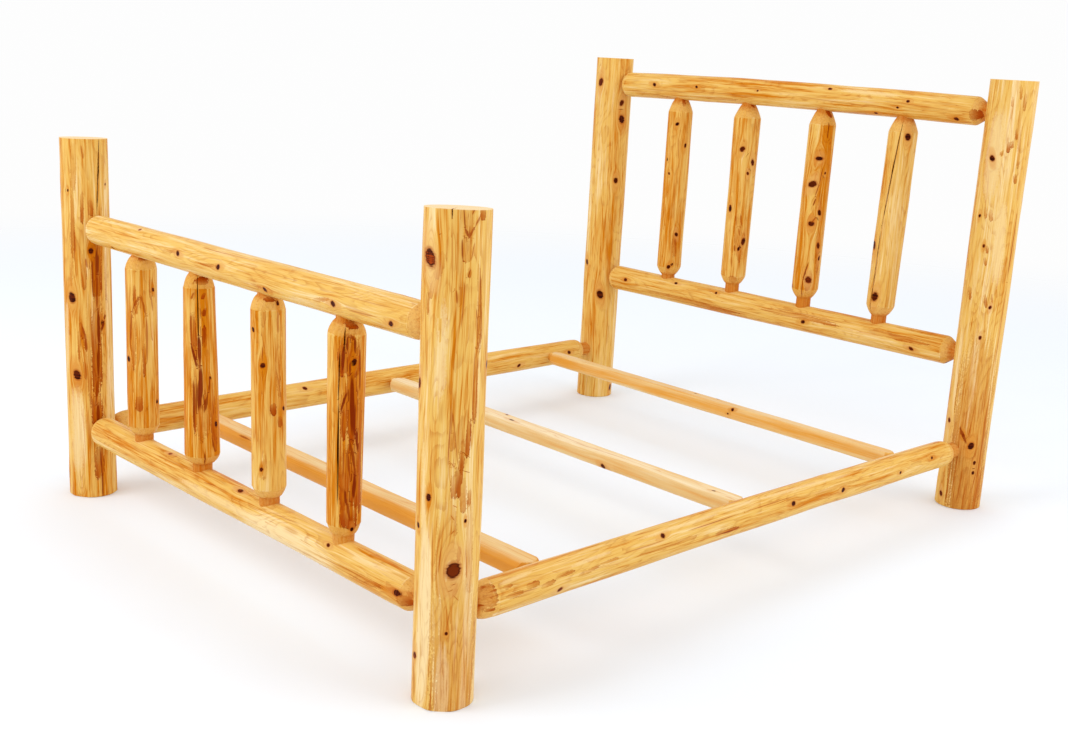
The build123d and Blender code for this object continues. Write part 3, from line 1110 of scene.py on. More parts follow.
def peeled_log(name):
    """The finish of every round log."""
    finish = Finish(name)
    fibre = finish.vector("fibre")
    noises = grain_noises(finish, fibre)
    tone = finish.number("tone")
    colour = grain_colour(finish, noises, tone)
    colour = dripped_colour(finish, colour, fibre, noises, finish.step(tone, 0.0, 0.8))
    colour, cone = cut_colour(finish, colour, fibre, noises)
    colour = bark_shade_and_sheen_colour(finish, colour, fibre, noises)
    colour = knotted_colour(finish, colour, fibre, noises)
    colour, opened = seamed_colour(finish, colour, noises)
    coat = 1 - finish.number("end_grain") * 0.8 - cone * 0.3 - opened
    streak, hair = noises[2:]
    height = streak * 0.5 + hair * (0.25 + cone * 0.8)
    normal = finish.bump(height, distance=0.0008, strength=0.35)
    return finish.dress(Base_Color=colour, Normal=normal, Coat_Weight=coat, **LACQUER)


PEELED_LOG = peeled_log("lacquered_log")
print("lacquered_log:", len(PEELED_LOG.node_tree.nodes), "nodes")

# %% [markdown]
# ## The finish of the slats
# The slats are sawn bars with rounded edges. A saw crosses no inner bark, so there are no drips:
# their tops are cream, their long sides are painted darker and warmer as shade, and the rings run as
# long arches.

# %% Mix the slat finish
SLAT_CREAM, SLAT_GOLD, SLAT_WARM = linear(240, 219, 179), linear(230, 194, 132), linear(226, 158, 64)
SLAT_YEAR = 2.2


def sawn_slat(name):
    """The finish of the three slats."""
    finish = Finish(name)
    fibre = finish.vector("fibre")
    noises = grain_noises(finish, fibre)
    broad, band, streak, hair = noises
    # The tone carries the painted shade of the long sides, which takes them towards the warm colour.
    level = uneven(finish.number("tone"), (broad, 1.0), (band, 0.8), (streak, 0.7))
    colour = finish.mix(finish.step(level, -0.1, 0.5), SLAT_CREAM, SLAT_GOLD)
    colour = finish.mix(finish.step(level, 0.4, 1.1), colour, SLAT_WARM)
    lines = late_wood(finish, broad, streak, SLAT_YEAR) * finish.step(band, 0.40, 0.60)
    colour = finish.mix(lines * 0.35, colour, AMBER)
    colour = finish.mix(finish.step(hair, 0.60, 0.78) * 0.4, colour, AMBER)
    colour = knotted_colour(finish, colour, fibre, noises)
    colour, cone = cut_colour(finish, colour, fibre, noises)
    colour, opened = seamed_colour(finish, colour, noises)
    normal = finish.bump(streak * 0.5 + hair * 0.3, distance=0.0006, strength=0.3)
    coat = 1 - cone * 0.3 - opened
    return finish.dress(Base_Color=colour, Normal=normal, Coat_Weight=coat, **LACQUER)


SAWN_SLAT = sawn_slat("lacquered_slat")
print("lacquered_slat:", len(SAWN_SLAT.node_tree.nodes), "nodes")

# %% [markdown]
# ## Zinc-plated steel
# The bolts, washers and nuts have the right shape already, so their meshes stay as they are and only
# their material is new: a grey metal, slightly blotched as zinc plating is.

# %% Dress the hardware
ZINC, ZINC_DULL = linear(196, 198, 200), linear(150, 152, 156)
BLOTCH_SIZE = 0.004


def zinc_steel(name):
    """Zinc plating: a metal whose colour and roughness vary in soft blotches."""
    finish = Finish(name)
    place_on = finish.add("ShaderNodeTexCoord", {}, {}, "Object")
    blotch = finish.noise(place_on, BLOTCH_SIZE, BLOTCH_SIZE)
    colour = finish.mix(finish.step(blotch, 0.35, 0.65), ZINC_DULL, ZINC)
    return finish.dress(Base_Color=colour, Metallic=1.0, Roughness=0.28 + 0.2 * blotch)


HARDWARE = ("side_rail_bolts", "side_rail_washers", "side_rail_nuts")
ZINC_STEEL = zinc_steel("zinc_plating")
for node in HARDWARE:
    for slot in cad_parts[node].material_slots:
        slot.material = ZINC_STEEL
print("zinc_plating on", len(HARDWARE), "nodes")

# %% [markdown]
# ## Placing a finished piece
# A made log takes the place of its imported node, rides on the bed's one body and takes its finish
# from the slot of the same name.

# %% Put a piece into the scene
SHARP_ANGLE = math.radians(50)
FINISHES = {"peeled_log": PEELED_LOG, "sawn_slat": SAWN_SLAT}
made = {}


def show(mesh, node, slot):
    """Links a mesh as the piece that stands for a CAD node, in the finish of its slot."""
    mesh.materials.clear()
    mesh.materials.append(FINISHES[slot])
    mesh.polygons.foreach_set("use_smooth", np.ones(len(mesh.polygons), bool))
    mesh.set_sharp_from_angle(angle=SHARP_ANGLE)
    piece = put_in_scene(node + "_wood", mesh)
    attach(piece, BODY)
    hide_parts(node)
    made[node] = piece
    return piece


def make_log(log, seed, slot):
    """Works a log out from its record and shows it."""
    mesh = log_mesh(log.settle(seed))
    remember(log, mesh)
    piece = show(mesh, log.node, slot)
    print(piece.name, len(mesh.polygons), "faces,", len(log.marks), "knots")


# %% [markdown]
# ## The posts
# Four stout logs, sawn across at the top and eased at the foot. The foot posts' tops are cut a little
# out of square. Their knots are where the camera sees them, and all sizes are in metres.

# %% Name the sizes of knots
BIG, BROAD, MIDDLE, SMALL, FINE, PIN = 0.015, 0.0118, 0.0090, 0.0065, 0.0046, 0.0032
POST_ENDS = (Sawn(edge=0.007), Sawn(edge=0.003))

# %% Describe the right foot post
FOOT_POST_RIGHT = Log(
    "foot_post_right", "z", (0.0683, 0.0693), POST_ENDS, tone=0.33, twist=0.05,
    shifts=((0.0024, 0.0025), (-0.0015, -0.0015)), tilt=(0.044, -0.038),
    knots=(
        Knot(430.5, 258, BIG, 0.30, 1.2), Knot(452.5, 570.4, BIG, 0.56, 1.1),
        Knot(428, 497.5, 0.0066, 1.0, 1.3), Knot(417.5, 525, FINE, 0.9), Knot(465, 521, PIN, 1.0),
        Knot(487, 364, SMALL, 0.7), Knot(420, 383, MIDDLE, 0.8), Knot(418, 393, SMALL, 0.8),
        Knot(413, 655, SMALL, 0.5), Knot(445, 633.7, PIN, 0.9),
    ),
    checks=(Check(453.3, 206, 453.2, 221, 0.0018),),
    lines=(
        Line(453.2, 218, 453, 290, 0.0014, 0.5), Line(464.8, 208, 466.5, 232, 0.0030, 0.80),
        Line(466.5, 230, 470, 240, 0.0052, 0.75), Line(470, 240, 475, 229, 0.0052, 0.70),
        Line(475, 230, 483, 214, 0.0048, 0.65), Line(462.8, 240, 463.2, 262, 0.0036, 0.80),
        Line(462, 263, 472, 262.5, 0.0040, 0.75), Line(472, 262, 475.5, 243, 0.0026, 0.60),
        Line(471.5, 270, 468.3, 279, 0.0036, 0.75), Line(477, 208, 473.5, 217, 0.0034, 0.70),
        Line(461.5, 330, 466, 280, 0.0030, 0.60), Line(457, 290, 457.5, 305, 0.0034, 0.70),
        Line(439, 236, 443, 234.5, 0.0024, 0.8), Line(481, 268, 481.5, 345, 0.0034, 0.75),
        Line(477, 308, 478.5, 350, 0.0034, 0.65), Line(448.7, 608.7, 445, 633, 0.0018, 0.6),
        Line(441, 545, 437, 575, 0.0026, 0.6), Line(465, 545, 466.5, 580, 0.0026, 0.55),
        Line(452, 400, 447, 470, 0.0028, 0.60), Line(452, 400, 458, 470, 0.0026, 0.55),
        Line(432, 525, 431, 600, 0.0022, 0.50), Line(412.5, 660, 412, 700, 0.0034, 0.65),
        Line(475, 350, 472, 420, 0.0034, 0.65), Line(470, 420, 471, 450, 0.0034, 0.70),
        Line(461, 451, 470, 458, 0.0026, 0.85), Line(461, 470, 470, 473, 0.0026, 0.85),
        Line(450, 462, 456, 470, 0.0024, 0.60), Line(452, 505, 457, 508, 0.0026, 0.65),
        Line(450, 515, 454, 521, 0.0024, 0.60), Line(450, 535, 454, 530, 0.0024, 0.60),
        Line(446, 585, 459, 583, 0.0044, 0.75), Line(447, 592, 452, 589, 0.0030, 0.65),
        Line(452, 595, 458, 601, 0.0026, 0.55), Line(440, 598, 438, 700, 0.0022, 0.35),
        Line(462, 610, 464, 700, 0.0022, 0.35), Line(455, 620, 452, 690, 0.0020, 0.35),
    ),
    barks_and_shade=(
        BarkAndShade(472, 206, 470, 240, 0.016, 0.30), BarkAndShade(484, 207, 484.5, 222, 0.016, 0.70),
        BarkAndShade(468, 238, 467.5, 264, 0.020, 0.35), BarkAndShade(470, 268, 470, 279, 0.009, 0.55),
        BarkAndShade(480, 262, 480.5, 352, 0.012, 0.48), BarkAndShade(478, 345, 474, 425, 0.014, 0.60),
        BarkAndShade(445, 252, 437, 280, 0.022, 0.40), BarkAndShade(434, 276, 431, 300, 0.014, 0.45),
        BarkAndShade(428, 292, 428, 316, 0.010, 0.50), BarkAndShade(470, 420, 467, 458, 0.014, 0.78),
        BarkAndShade(463, 440, 460, 478, 0.014, 0.68), BarkAndShade(453, 474, 453.5, 501, 0.014, 0.60),
        BarkAndShade(459, 466, 459, 499, 0.017, 0.90), BarkAndShade(470, 488, 469, 508, 0.010, 0.65),
        BarkAndShade(463, 478, 463, 514, 0.020, 0.50), BarkAndShade(447, 532, 447, 549, 0.014, 0.55),
        BarkAndShade(453, 505, 454, 540, 0.012, 0.40), BarkAndShade(459, 546, 457, 563, 0.010, 0.75),
        BarkAndShade(440, 300, 442, 380, 0.012, 0.25), BarkAndShade(453, 602, 452, 580, 0.026, 0.45),
        BarkAndShade(436, 560, 438, 600, 0.010, 0.45), BarkAndShade(452, 430, 452, 452, 0.014, 0.40),
        # The first band on the next line is not a drip of bark: it only darkens the lower part of the post
        # on the side seen.
        BarkAndShade(455, 575, 452, 730, 0.120, 0.36), BarkAndShade(470, 500, 468, 600, 0.020, 0.35),
        BarkAndShade(448, 500, 442, 606, 0.040, 0.20),
    ),
    sapwood_and_sheen=(
        # The first pale patch, down the post's left edge, is painted reflection that makes that edge pale.
        SapwoodAndSheen(423, 440, 422, 700, 0.018), SapwoodAndSheen(443, 300, 440, 400, 0.024),
        SapwoodAndSheen(449, 552, 443, 590, 0.020),
    ),
    strokes=(Stroke(421, 620, 0.24, 0.0040), Stroke(440, 690, 0.12, 0.0030)),
)

# %% Describe the left foot post
FOOT_POST_LEFT = Log(
    "foot_post_left", "z", (0.0690, 0.0664), POST_ENDS, tone=0.46, twist=-0.02, tilt=(0.026, -0.012),
    knots=(
        Knot(72, 297.5, BROAD, 0.9), Knot(77, 375, BROAD, 0.8), Knot(91, 251, 0.0078, 1.0),
        Knot(102.5, 323, SMALL, 0.9), Knot(68.5, 474, BROAD, 0.8), Knot(67.5, 190.5, PIN, 0.9),
        Knot(106, 184.5, PIN, 0.8), Knot(105, 316, PIN, 0.8), Knot(59.5, 188, BROAD, 0.7),
    ),
    checks=(Check(99.3, 139, 97.2, 214, 0.0040),),
    lines=(
        Line(80.5, 145, 83, 160, 0.006, 0.55), Line(92.5, 259, 93, 300, 0.0070, 0.80),
        Line(97, 246, 97.5, 275, 0.0080, 0.85), Line(97.5, 275, 97, 310, 0.0070, 0.75),
        Line(98, 308, 99, 345, 0.0090, 0.90), Line(99, 340, 98, 378, 0.0080, 0.85),
        Line(98, 376, 96, 405, 0.0070, 0.75), Line(100.5, 450, 103, 500, 0.0070, 0.80),
        Line(98, 404, 98, 424, 0.0110, 0.85), Line(85.5, 258, 87, 268, 0.0050, 0.60),
        Line(82, 326, 86, 340, 0.0070, 0.70), Line(85, 338, 87, 351, 0.0080, 0.75),
        Line(105, 314, 104, 320, 0.0060, 0.80), Line(104, 322, 101.5, 331, 0.0090, 0.90),
        Line(85.5, 362, 86, 378, 0.0050, 0.45), Line(75, 240, 74, 262, 0.0060, 0.55),
    ),
    barks_and_shade=(
        BarkAndShade(73, 140, 73, 195, 0.018, 0.35), BarkAndShade(72, 190, 72.5, 262, 0.014, 0.65),
        BarkAndShade(71.5, 250, 71.5, 288, 0.012, 0.45), BarkAndShade(82, 192, 82, 224, 0.011, 0.70),
        BarkAndShade(97, 244, 97, 300, 0.030, 0.80), BarkAndShade(97, 290, 97.5, 400, 0.032, 0.85),
        BarkAndShade(97, 395, 98, 427, 0.036, 0.90), BarkAndShade(80.5, 322, 84, 340, 0.012, 0.80),
        BarkAndShade(84, 335, 86.5, 352, 0.010, 0.80), BarkAndShade(79.5, 325, 79, 362, 0.010, 0.55),
        BarkAndShade(99, 446, 99.5, 480, 0.028, 0.80), BarkAndShade(85, 350, 86, 380, 0.014, 0.45),
        BarkAndShade(90, 200, 91, 216, 0.016, 0.45), BarkAndShade(84, 250, 84, 290, 0.014, 0.45),
        BarkAndShade(88, 300, 90, 400, 0.014, 0.30), BarkAndShade(106, 250, 107, 300, 0.014, 0.45),
    ),
    # The second and third pale patches, at the post's left and right edges, are painted reflection that
    # makes the edges pale.
    sapwood_and_sheen=(SapwoodAndSheen(76, 388, 78, 470, 0.050), SapwoodAndSheen(67, 300, 68, 372, 0.016), SapwoodAndSheen(108, 360, 109, 440, 0.016)),
    strokes=(Stroke(80, 440, 0.20, 0.0045), Stroke(109, 300, 0.5, 0.0030)),
)

# %% Describe the two head posts
HEAD_POST_RIGHT = Log(
    "head_post_right", "z", (0.0694, 0.0716), POST_ENDS, tone=0.28, twist=0.06,
    knots=(
        Knot(992.5, 158.3, 0.0080, 0.8, 1.1), Knot(979.7, 215.8, FINE, 0.8), Knot(983.7, 245.8, FINE, 0.9),
        Knot(990, 307.5, FINE, 0.9), Knot(980, 338, FINE, 0.7), Knot(949, 420, SMALL, 0.6),
        Knot(963, 435.5, FINE, 0.9), Knot(971, 446, MIDDLE, 0.9), Knot(974.5, 463, FINE, 0.8),
        Knot(973, 473, FINE, 0.8), Knot(941, 493, SMALL, 0.6),
    ),
    # The first three lines, down the post's right edge, are painted shade along its outline; the fourth is
    # a seam.
    lines=(
        Line(1018, 205, 1007, 280, 0.0060, 0.70), Line(1007, 284, 994, 372, 0.0060, 0.60),
        Line(991, 385, 974, 498, 0.0060, 0.60), Line(960, 426, 966, 444, 0.0110, 0.80),
    ),
    barks_and_shade=(
        BarkAndShade(1002, 150, 1001, 157, 0.010, 0.60), BarkAndShade(1009, 142, 1008, 153, 0.012, 0.75),
        BarkAndShade(1013, 140, 1012, 149, 0.010, 0.65), BarkAndShade(1017, 129, 1016, 140, 0.012, 0.60),
        BarkAndShade(1015, 174, 1015, 184, 0.014, 0.60), BarkAndShade(1021, 84, 1021, 100, 0.010, 0.50),
        BarkAndShade(1026, 92, 1024, 112, 0.010, 0.50), BarkAndShade(1013, 96, 1012, 108, 0.008, 0.40),
        BarkAndShade(985, 207, 986, 219, 0.010, 0.55), BarkAndShade(991, 209, 991, 222, 0.012, 0.50),
        BarkAndShade(987, 245, 987, 254, 0.010, 0.65), BarkAndShade(985, 257, 985, 266, 0.010, 0.60),
        BarkAndShade(970, 286, 970, 300, 0.014, 0.60), BarkAndShade(985, 294, 986, 308, 0.010, 0.60),
        BarkAndShade(992, 294, 992, 304, 0.008, 0.65), BarkAndShade(1020, 110, 1018, 170, 0.012, 0.35),
        # This widest band is not a drip of bark: it only darkens the lower part of the post on the side
        # seen.
        BarkAndShade(984, 335, 960, 530, 0.130, 0.48),
    ),
    sapwood_and_sheen=(SapwoodAndSheen(1000, 110, 988, 200, 0.055), SapwoodAndSheen(1003, 200, 996, 285, 0.035)),
    swells=(Swell(938, 500, 0.009, 0.10),),
)
HEAD_POST_LEFT = Log(
    "head_post_left", "z", (0.0712, 0.0718), POST_ENDS, tone=0.34, twist=-0.05,
    knots=(
        Knot(600.8, 82, BROAD, 0.6), Knot(621.8, 119.2, 0.0130, 0.8), Knot(615.6, 180.5, MIDDLE, 0.8),
        Knot(587, 262, MIDDLE, 0.8), Knot(600, 294.3, 0.0130, 0.8), Knot(610, 387, MIDDLE, 0.7),
        Knot(621.8, 103, MIDDLE, 0.6),
    ),
)

# %% Make the posts
POST_SEED = 11
POSTS = (FOOT_POST_RIGHT, FOOT_POST_LEFT, HEAD_POST_RIGHT, HEAD_POST_LEFT)
for seed, log in enumerate(POSTS, POST_SEED):
    low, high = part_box(log.node)
    log.limits = (0.0 if low[0] + high[0] > 0 else np.pi, math.copysign(np.pi / 2, low[1] + high[1]))
    make_log(log, seed, "peeled_log")

# %% [markdown]
# ## Rails of the two panels
# Each panel has a top and a bottom rail, whittled at both ends to a tenon that is glued into a post.
# The left ends are domed and the right ones are cones, as the cutter happened to be held. Such logs
# are never quite straight, so an axis may lean or bow, and the log is no thicker for it.

# %% Describe the footboard's rails
RAIL_TENON, RAIL_DEPTH = 0.0254, 0.040
PANEL_ENDS = (
    Whittled(RAIL_TENON, RAIL_DEPTH, bare=0.003, shoulder=0.022, dome=1.0),
    Whittled(RAIL_TENON, RAIL_DEPTH, bare=0.006, shoulder=0.031, dome=0.0),
)
FOOT_TOP_RAIL = Log(
    "foot_top_rail", "x", (0.0427, 0.0415), PANEL_ENDS, tone=0.22, twist=0.1,
    shifts=((0.0, -0.003), (0.0, 0.003)),
    knots=(
        Knot(113, 247, FINE, 1.0), Knot(177.5, 253, SMALL, 0.7), Knot(217.8, 267, SMALL, 0.8),
        Knot(265, 290, SMALL, 0.9), Knot(332.5, 304.7, SMALL, 0.8), Knot(390.8, 325, SMALL, 0.8),
        Knot(140, 229, FINE, 0.4),
    ),
    lines=(
        Line(200, 247, 262, 262, 0.0030, 0.40), Line(230, 262, 300, 282, 0.0026, 0.35),
        Line(300, 268, 360, 284, 0.0026, 0.40), Line(340, 296, 400, 311, 0.0024, 0.35),
        Line(345, 310, 375, 318, 0.0036, 0.50), Line(120, 238, 200, 255, 0.0024, 0.30),
    ),
    barks_and_shade=(
        BarkAndShade(312, 301, 330, 300, 0.012, 0.55), BarkAndShade(200, 264, 216, 266, 0.009, 0.50),
        BarkAndShade(250, 284, 262, 288, 0.008, 0.50), BarkAndShade(163, 249, 176, 252, 0.008, 0.45),
    ),
)
FOOT_BOTTOM_RAIL = Log(
    "foot_bottom_rail", "x", (0.0443, 0.0428), PANEL_ENDS, tone=0.34, twist=-0.08,
    knots=(
        Knot(240.5, 490.8, SMALL, 0.45, 1.6), Knot(170.5, 454, FINE, 0.4, 1.5),
        Knot(328, 545, FINE, 0.6, 1.4), Knot(396.5, 593, 0.0080, 0.85, 1.5),
    ),
    lines=(
        Line(203, 482, 216, 486, 0.0026, 0.60), Line(268, 511, 300, 524, 0.0024, 0.40),
        Line(150, 452, 190, 470, 0.0024, 0.35), Line(300, 548, 380, 586, 0.0026, 0.35),
    ),
    barks_and_shade=(
        BarkAndShade(396, 600, 409, 606, 0.034, 0.85), BarkAndShade(385, 583, 398, 595, 0.016, 0.55),
        BarkAndShade(404, 590, 408, 599, 0.014, 0.70), BarkAndShade(232, 488, 244, 493, 0.014, 0.35),
        BarkAndShade(160, 451, 176, 457, 0.020, 0.30), BarkAndShade(330, 562, 380, 588, 0.020, 0.30),
    ),
    sapwood_and_sheen=(SapwoodAndSheen(180, 480, 260, 522, 0.022), SapwoodAndSheen(350, 556, 392, 572, 0.012)),
    swells=(Swell(165, 478, 0.003, 0.09), Swell(292, 543, -0.005, 0.17)),
)

# %% Describe the headboard's rails
HEAD_TOP_RAIL = Log(
    "head_top_rail", "x", (0.0468, 0.0447), PANEL_ENDS, tone=0.42, twist=0.07,
    bow=(0.0, 0.008), shifts=((0.0, -0.004), (0.0, -0.008)),
    knots=(
        Knot(654.4, 84.4, SMALL, 0.9), Knot(696.6, 87.3, FINE, 0.9), Knot(757.5, 91.3, PIN, 0.7),
        Knot(830, 89, FINE, 0.8, 1.7), Knot(876, 113, FINE, 0.8, 1.5), Knot(908, 100.5, FINE, 0.8),
        Knot(956.5, 117.5, SMALL, 0.9, 1.3), Knot(897.5, 107, PIN, 0.8, 1.5),
    ),
    lines=(
        Line(700, 92, 760, 98, 0.0040, 0.35), Line(790, 96, 880, 108, 0.0040, 0.35),
        Line(640, 88, 690, 93, 0.0040, 0.30), Line(880, 100, 960, 110, 0.0040, 0.30),
    ),
    barks_and_shade=(
        BarkAndShade(969, 113, 981, 115, 0.046, 0.95), BarkAndShade(690, 97, 740, 101, 0.016, 0.40),
        BarkAndShade(800, 108, 880, 116, 0.018, 0.40), BarkAndShade(630, 90, 670, 97, 0.014, 0.40),
    ),
    sapwood_and_sheen=(SapwoodAndSheen(840, 90, 900, 95, 0.016),),
)
HEAD_BOTTOM_RAIL = Log(
    "head_bottom_rail", "x", (0.0473, 0.0461), PANEL_ENDS, tone=0.40, twist=-0.06,
    shifts=((0.0, 0.003), (0.0, -0.004)),
    knots=(
        Knot(625.3, 280.3, SMALL, 0.8), Knot(676, 283.5, FINE, 0.8, 1.6), Knot(716, 293, FINE, 0.9),
        Knot(802.8, 321.5, SMALL, 0.9), Knot(911, 348, SMALL, 0.7), Knot(747, 292.5, PIN, 0.7, 1.6),
    ),
    lines=(
        Line(640, 289, 760, 316, 0.0044, 0.40), Line(770, 306, 850, 324, 0.0044, 0.45),
        Line(680, 284, 740, 294, 0.0040, 0.30),
    ),
    barks_and_shade=(
        BarkAndShade(640, 291, 740, 314, 0.020, 0.50), BarkAndShade(760, 308, 840, 325, 0.018, 0.50),
        BarkAndShade(860, 328, 930, 344, 0.018, 0.40),
    ),
)

# %% Make the panels' rails
PANEL_RAIL_SEED = 31
PANEL_RAILS = (FOOT_TOP_RAIL, FOOT_BOTTOM_RAIL, HEAD_TOP_RAIL, HEAD_BOTTOM_RAIL)
for seed, log in enumerate(PANEL_RAILS, PANEL_RAIL_SEED):
    make_log(log, seed, "peeled_log")

# %% [markdown]
# ## The spindles
# Eight thinner logs fill the panels. Each has its own lean, taper and colour, because they were
# chosen from a pile and not turned alike: two of the footboard's are the darkest pieces of the bed,
# and both have opened along a check. One record repeated eight times would be quicker, but it would
# look turned.

# %% Shape the spindles' ends
SPINDLE_DEPTH = 0.030
FOOT_ENDS = (
    Whittled(RAIL_TENON, SPINDLE_DEPTH, bare=0.015, shoulder=0.027, dome=0.5),
    Whittled(RAIL_TENON, SPINDLE_DEPTH, bare=0.0, shoulder=0.033, dome=0.55),
)


def head_ends(neck):
    """A headboard spindle's two ends, with its own bare neck below and a long cone above."""
    below = Whittled(RAIL_TENON, SPINDLE_DEPTH, bare=neck, shoulder=0.031, dome=0.4)
    return below, Whittled(RAIL_TENON, SPINDLE_DEPTH, bare=0.0, shoulder=0.045, dome=0.25)


# %% Describe the footboard's left spindles
FOOT_SPINDLE_1 = Log(
    "foot_spindle_1", "z", (0.0428, 0.0427), FOOT_ENDS, tone=0.53,
    shifts=((0.003, 0.0), (0.003, 0.0)), bow=(-0.002, 0.0),
    knots=(
        Knot(153, 289.5, FINE, 1.0), Knot(128.7, 358.7, SMALL, 0.8), Knot(156.7, 401.3, FINE, 0.9),
    ),
    lines=(
        Line(140, 294, 131, 312, 0.008, 0.70), Line(140, 294, 146, 316, 0.007, 0.65),
        Line(131, 311, 130, 352, 0.006, 0.70), Line(146, 314, 147, 365, 0.006, 0.60),
        Line(139, 300, 134, 316, 0.005, 0.50), Line(151, 296, 153, 312, 0.006, 0.50),
    ),
    barks_and_shade=(
        BarkAndShade(134, 284, 134, 306, 0.010, 0.75), BarkAndShade(139, 396, 139, 412, 0.022, 0.65),
        BarkAndShade(144, 343, 144, 378, 0.008, 0.75), BarkAndShade(133, 318, 134, 370, 0.016, 0.45),
        # The first bark on the next line is painted shadow of the top rail on the spindle's cone.
        BarkAndShade(142, 262, 146, 257, 0.044, 0.80), BarkAndShade(150, 276, 151, 300, 0.014, 0.45),
    ),
)
FOOT_SPINDLE_2 = Log(
    "foot_spindle_2", "z", (0.0480, 0.0398), FOOT_ENDS, tone=0.59,
    shifts=((0.005, 0.0), (-0.008, 0.0)),
    knots=(
        Knot(183, 350, SMALL, 0.9), Knot(215, 423.7, 0.0055, 1.0, 1.6), Knot(210.5, 378, PIN, 0.9),
    ),
    checks=(Check(198.3, 276, 199.4, 345, 0.0030),),
    lines=(
        Line(191.5, 300, 194, 293, 0.0060, 0.70), Line(199.4, 336, 200.5, 368, 0.0080, 0.90),
        Line(191.5, 314, 191.5, 345, 0.0050, 0.75), Line(191.5, 344, 197.5, 368, 0.0080, 0.90),
        Line(195.5, 318, 197, 345, 0.0040, 0.60), Line(205, 310, 205.5, 317, 0.0110, 0.75),
        Line(205, 329, 205, 344, 0.0080, 0.70), Line(210, 377, 209, 392, 0.0060, 0.80),
        Line(208, 392, 204, 413, 0.0080, 0.80), Line(194, 378, 194.5, 432, 0.0080, 0.80),
        Line(201, 366, 199.5, 412, 0.0130, 0.92), Line(204, 452, 204.5, 466, 0.0050, 0.85),
        Line(211, 438, 213, 450, 0.0070, 0.75), Line(212, 400, 213, 415, 0.0060, 0.55),
    ),
    barks_and_shade=(
        BarkAndShade(192, 310, 196, 364, 0.017, 0.80), BarkAndShade(206, 293, 204, 300, 0.010, 0.85),
        BarkAndShade(207, 308, 204, 317, 0.010, 0.95), BarkAndShade(206, 348, 205.5, 326, 0.011, 0.90),
        BarkAndShade(199.5, 345, 200, 428, 0.018, 0.90), BarkAndShade(196, 376, 195, 434, 0.012, 0.85),
        BarkAndShade(206, 384, 204, 414, 0.014, 0.75), BarkAndShade(211, 378, 214, 452, 0.020, 0.60),
        # The first bark on the next line is painted shadow of the top rail on the spindle's cone.
        BarkAndShade(203, 286, 205, 278, 0.046, 1.00), BarkAndShade(200, 350, 202, 440, 0.050, 0.30),
    ),
)

# %% Describe the footboard's right spindles
FOOT_SPINDLE_3 = Log(
    "foot_spindle_3", "z", (0.0429, 0.0429), FOOT_ENDS, tone=0.48,
    shifts=((0.008, 0.0), (-0.004, 0.0)),
    knots=(
        Knot(253.7, 329.7, FINE, 1.0), Knot(262.7, 365.6, SMALL, 1.0, 1.0),
        Knot(283, 408, FINE, 0.9), Knot(260, 469, FINE, 1.0), Knot(280, 303.7, FINE, 1.0),
    ),
    lines=(
        Line(262.8, 345, 262.6, 362, 0.0024, 0.70), Line(262.6, 369, 262.4, 382, 0.0022, 0.50),
        Line(278, 310, 278.5, 335, 0.0050, 0.45), Line(276, 370, 281, 400, 0.0040, 0.40),
    ),
    barks_and_shade=(
        BarkAndShade(264, 306, 263, 328, 0.012, 0.30), BarkAndShade(273, 403, 273, 416, 0.017, 0.95),
        # The second bark on the next line is painted shadow of the top rail on the spindle's cone.
        BarkAndShade(279, 416, 279.5, 427, 0.014, 0.60), BarkAndShade(268, 298, 273, 303, 0.040, 0.90),
        BarkAndShade(263, 455, 263, 480, 0.014, 0.30), BarkAndShade(277, 330, 279, 400, 0.014, 0.30),
    ),
)
FOOT_SPINDLE_4 = Log(
    "foot_spindle_4", "z", (0.0390, 0.0450), FOOT_ENDS, tone=0.60,
    shifts=((0.0, 0.0), (-0.002, 0.0)),
    knots=(Knot(354.2, 362.3, SMALL, 1.0), Knot(353, 530, FINE, 0.9), Knot(369, 388, PIN, 0.8)),
    checks=(
        Check(345.6, 328, 344.8, 352, 0.0028), Check(340.5, 352, 338.6, 400, 0.0034),
        Check(338.8, 398, 337, 505, 0.0034),
    ),
    lines=(
        Line(344.6, 345, 343, 372, 0.0070, 0.90), Line(348, 336, 347.5, 352, 0.0060, 0.85),
        Line(355, 337, 355, 354, 0.0060, 0.85), Line(351, 334, 353, 340, 0.0060, 0.75),
        Line(350.5, 360, 350, 376, 0.0050, 0.80), Line(360, 348, 360, 392, 0.0060, 0.75),
        Line(352, 374, 354, 440, 0.0130, 0.90), Line(347, 392, 341, 412, 0.0070, 0.90),
        Line(344, 412, 342, 436, 0.0060, 0.70), Line(356, 430, 357.5, 452, 0.0080, 0.90),
        Line(350, 440, 356, 476, 0.0070, 0.80), Line(355, 474, 354, 500, 0.0120, 0.92),
        Line(344, 446, 342.5, 480, 0.0040, 0.70), Line(347.5, 446, 350, 480, 0.0050, 0.75),
        Line(345, 490, 346, 505, 0.0060, 0.85), Line(360, 400, 359, 470, 0.0040, 0.60),
        Line(347, 500, 350, 522, 0.0060, 0.75), Line(340.5, 420, 340, 480, 0.0040, 0.55),
    ),
    barks_and_shade=(
        BarkAndShade(350, 334, 351, 378, 0.050, 0.60), BarkAndShade(351, 372, 353, 448, 0.030, 0.78),
        BarkAndShade(352, 440, 354, 510, 0.040, 0.74), BarkAndShade(340.5, 348, 342, 378, 0.014, 1.00),
        BarkAndShade(345, 392, 343, 440, 0.020, 0.70), BarkAndShade(359, 400, 359, 515, 0.026, 0.70),
        # The first bark on the next line is painted shadow of the top rail on the spindle's cone.
        BarkAndShade(348, 322, 357, 330, 0.036, 1.00), BarkAndShade(346, 450, 346, 520, 0.030, 0.65),
        BarkAndShade(349, 505, 350, 530, 0.044, 0.85), BarkAndShade(354, 531, 353, 523, 0.022, 1.00),
    ),
)

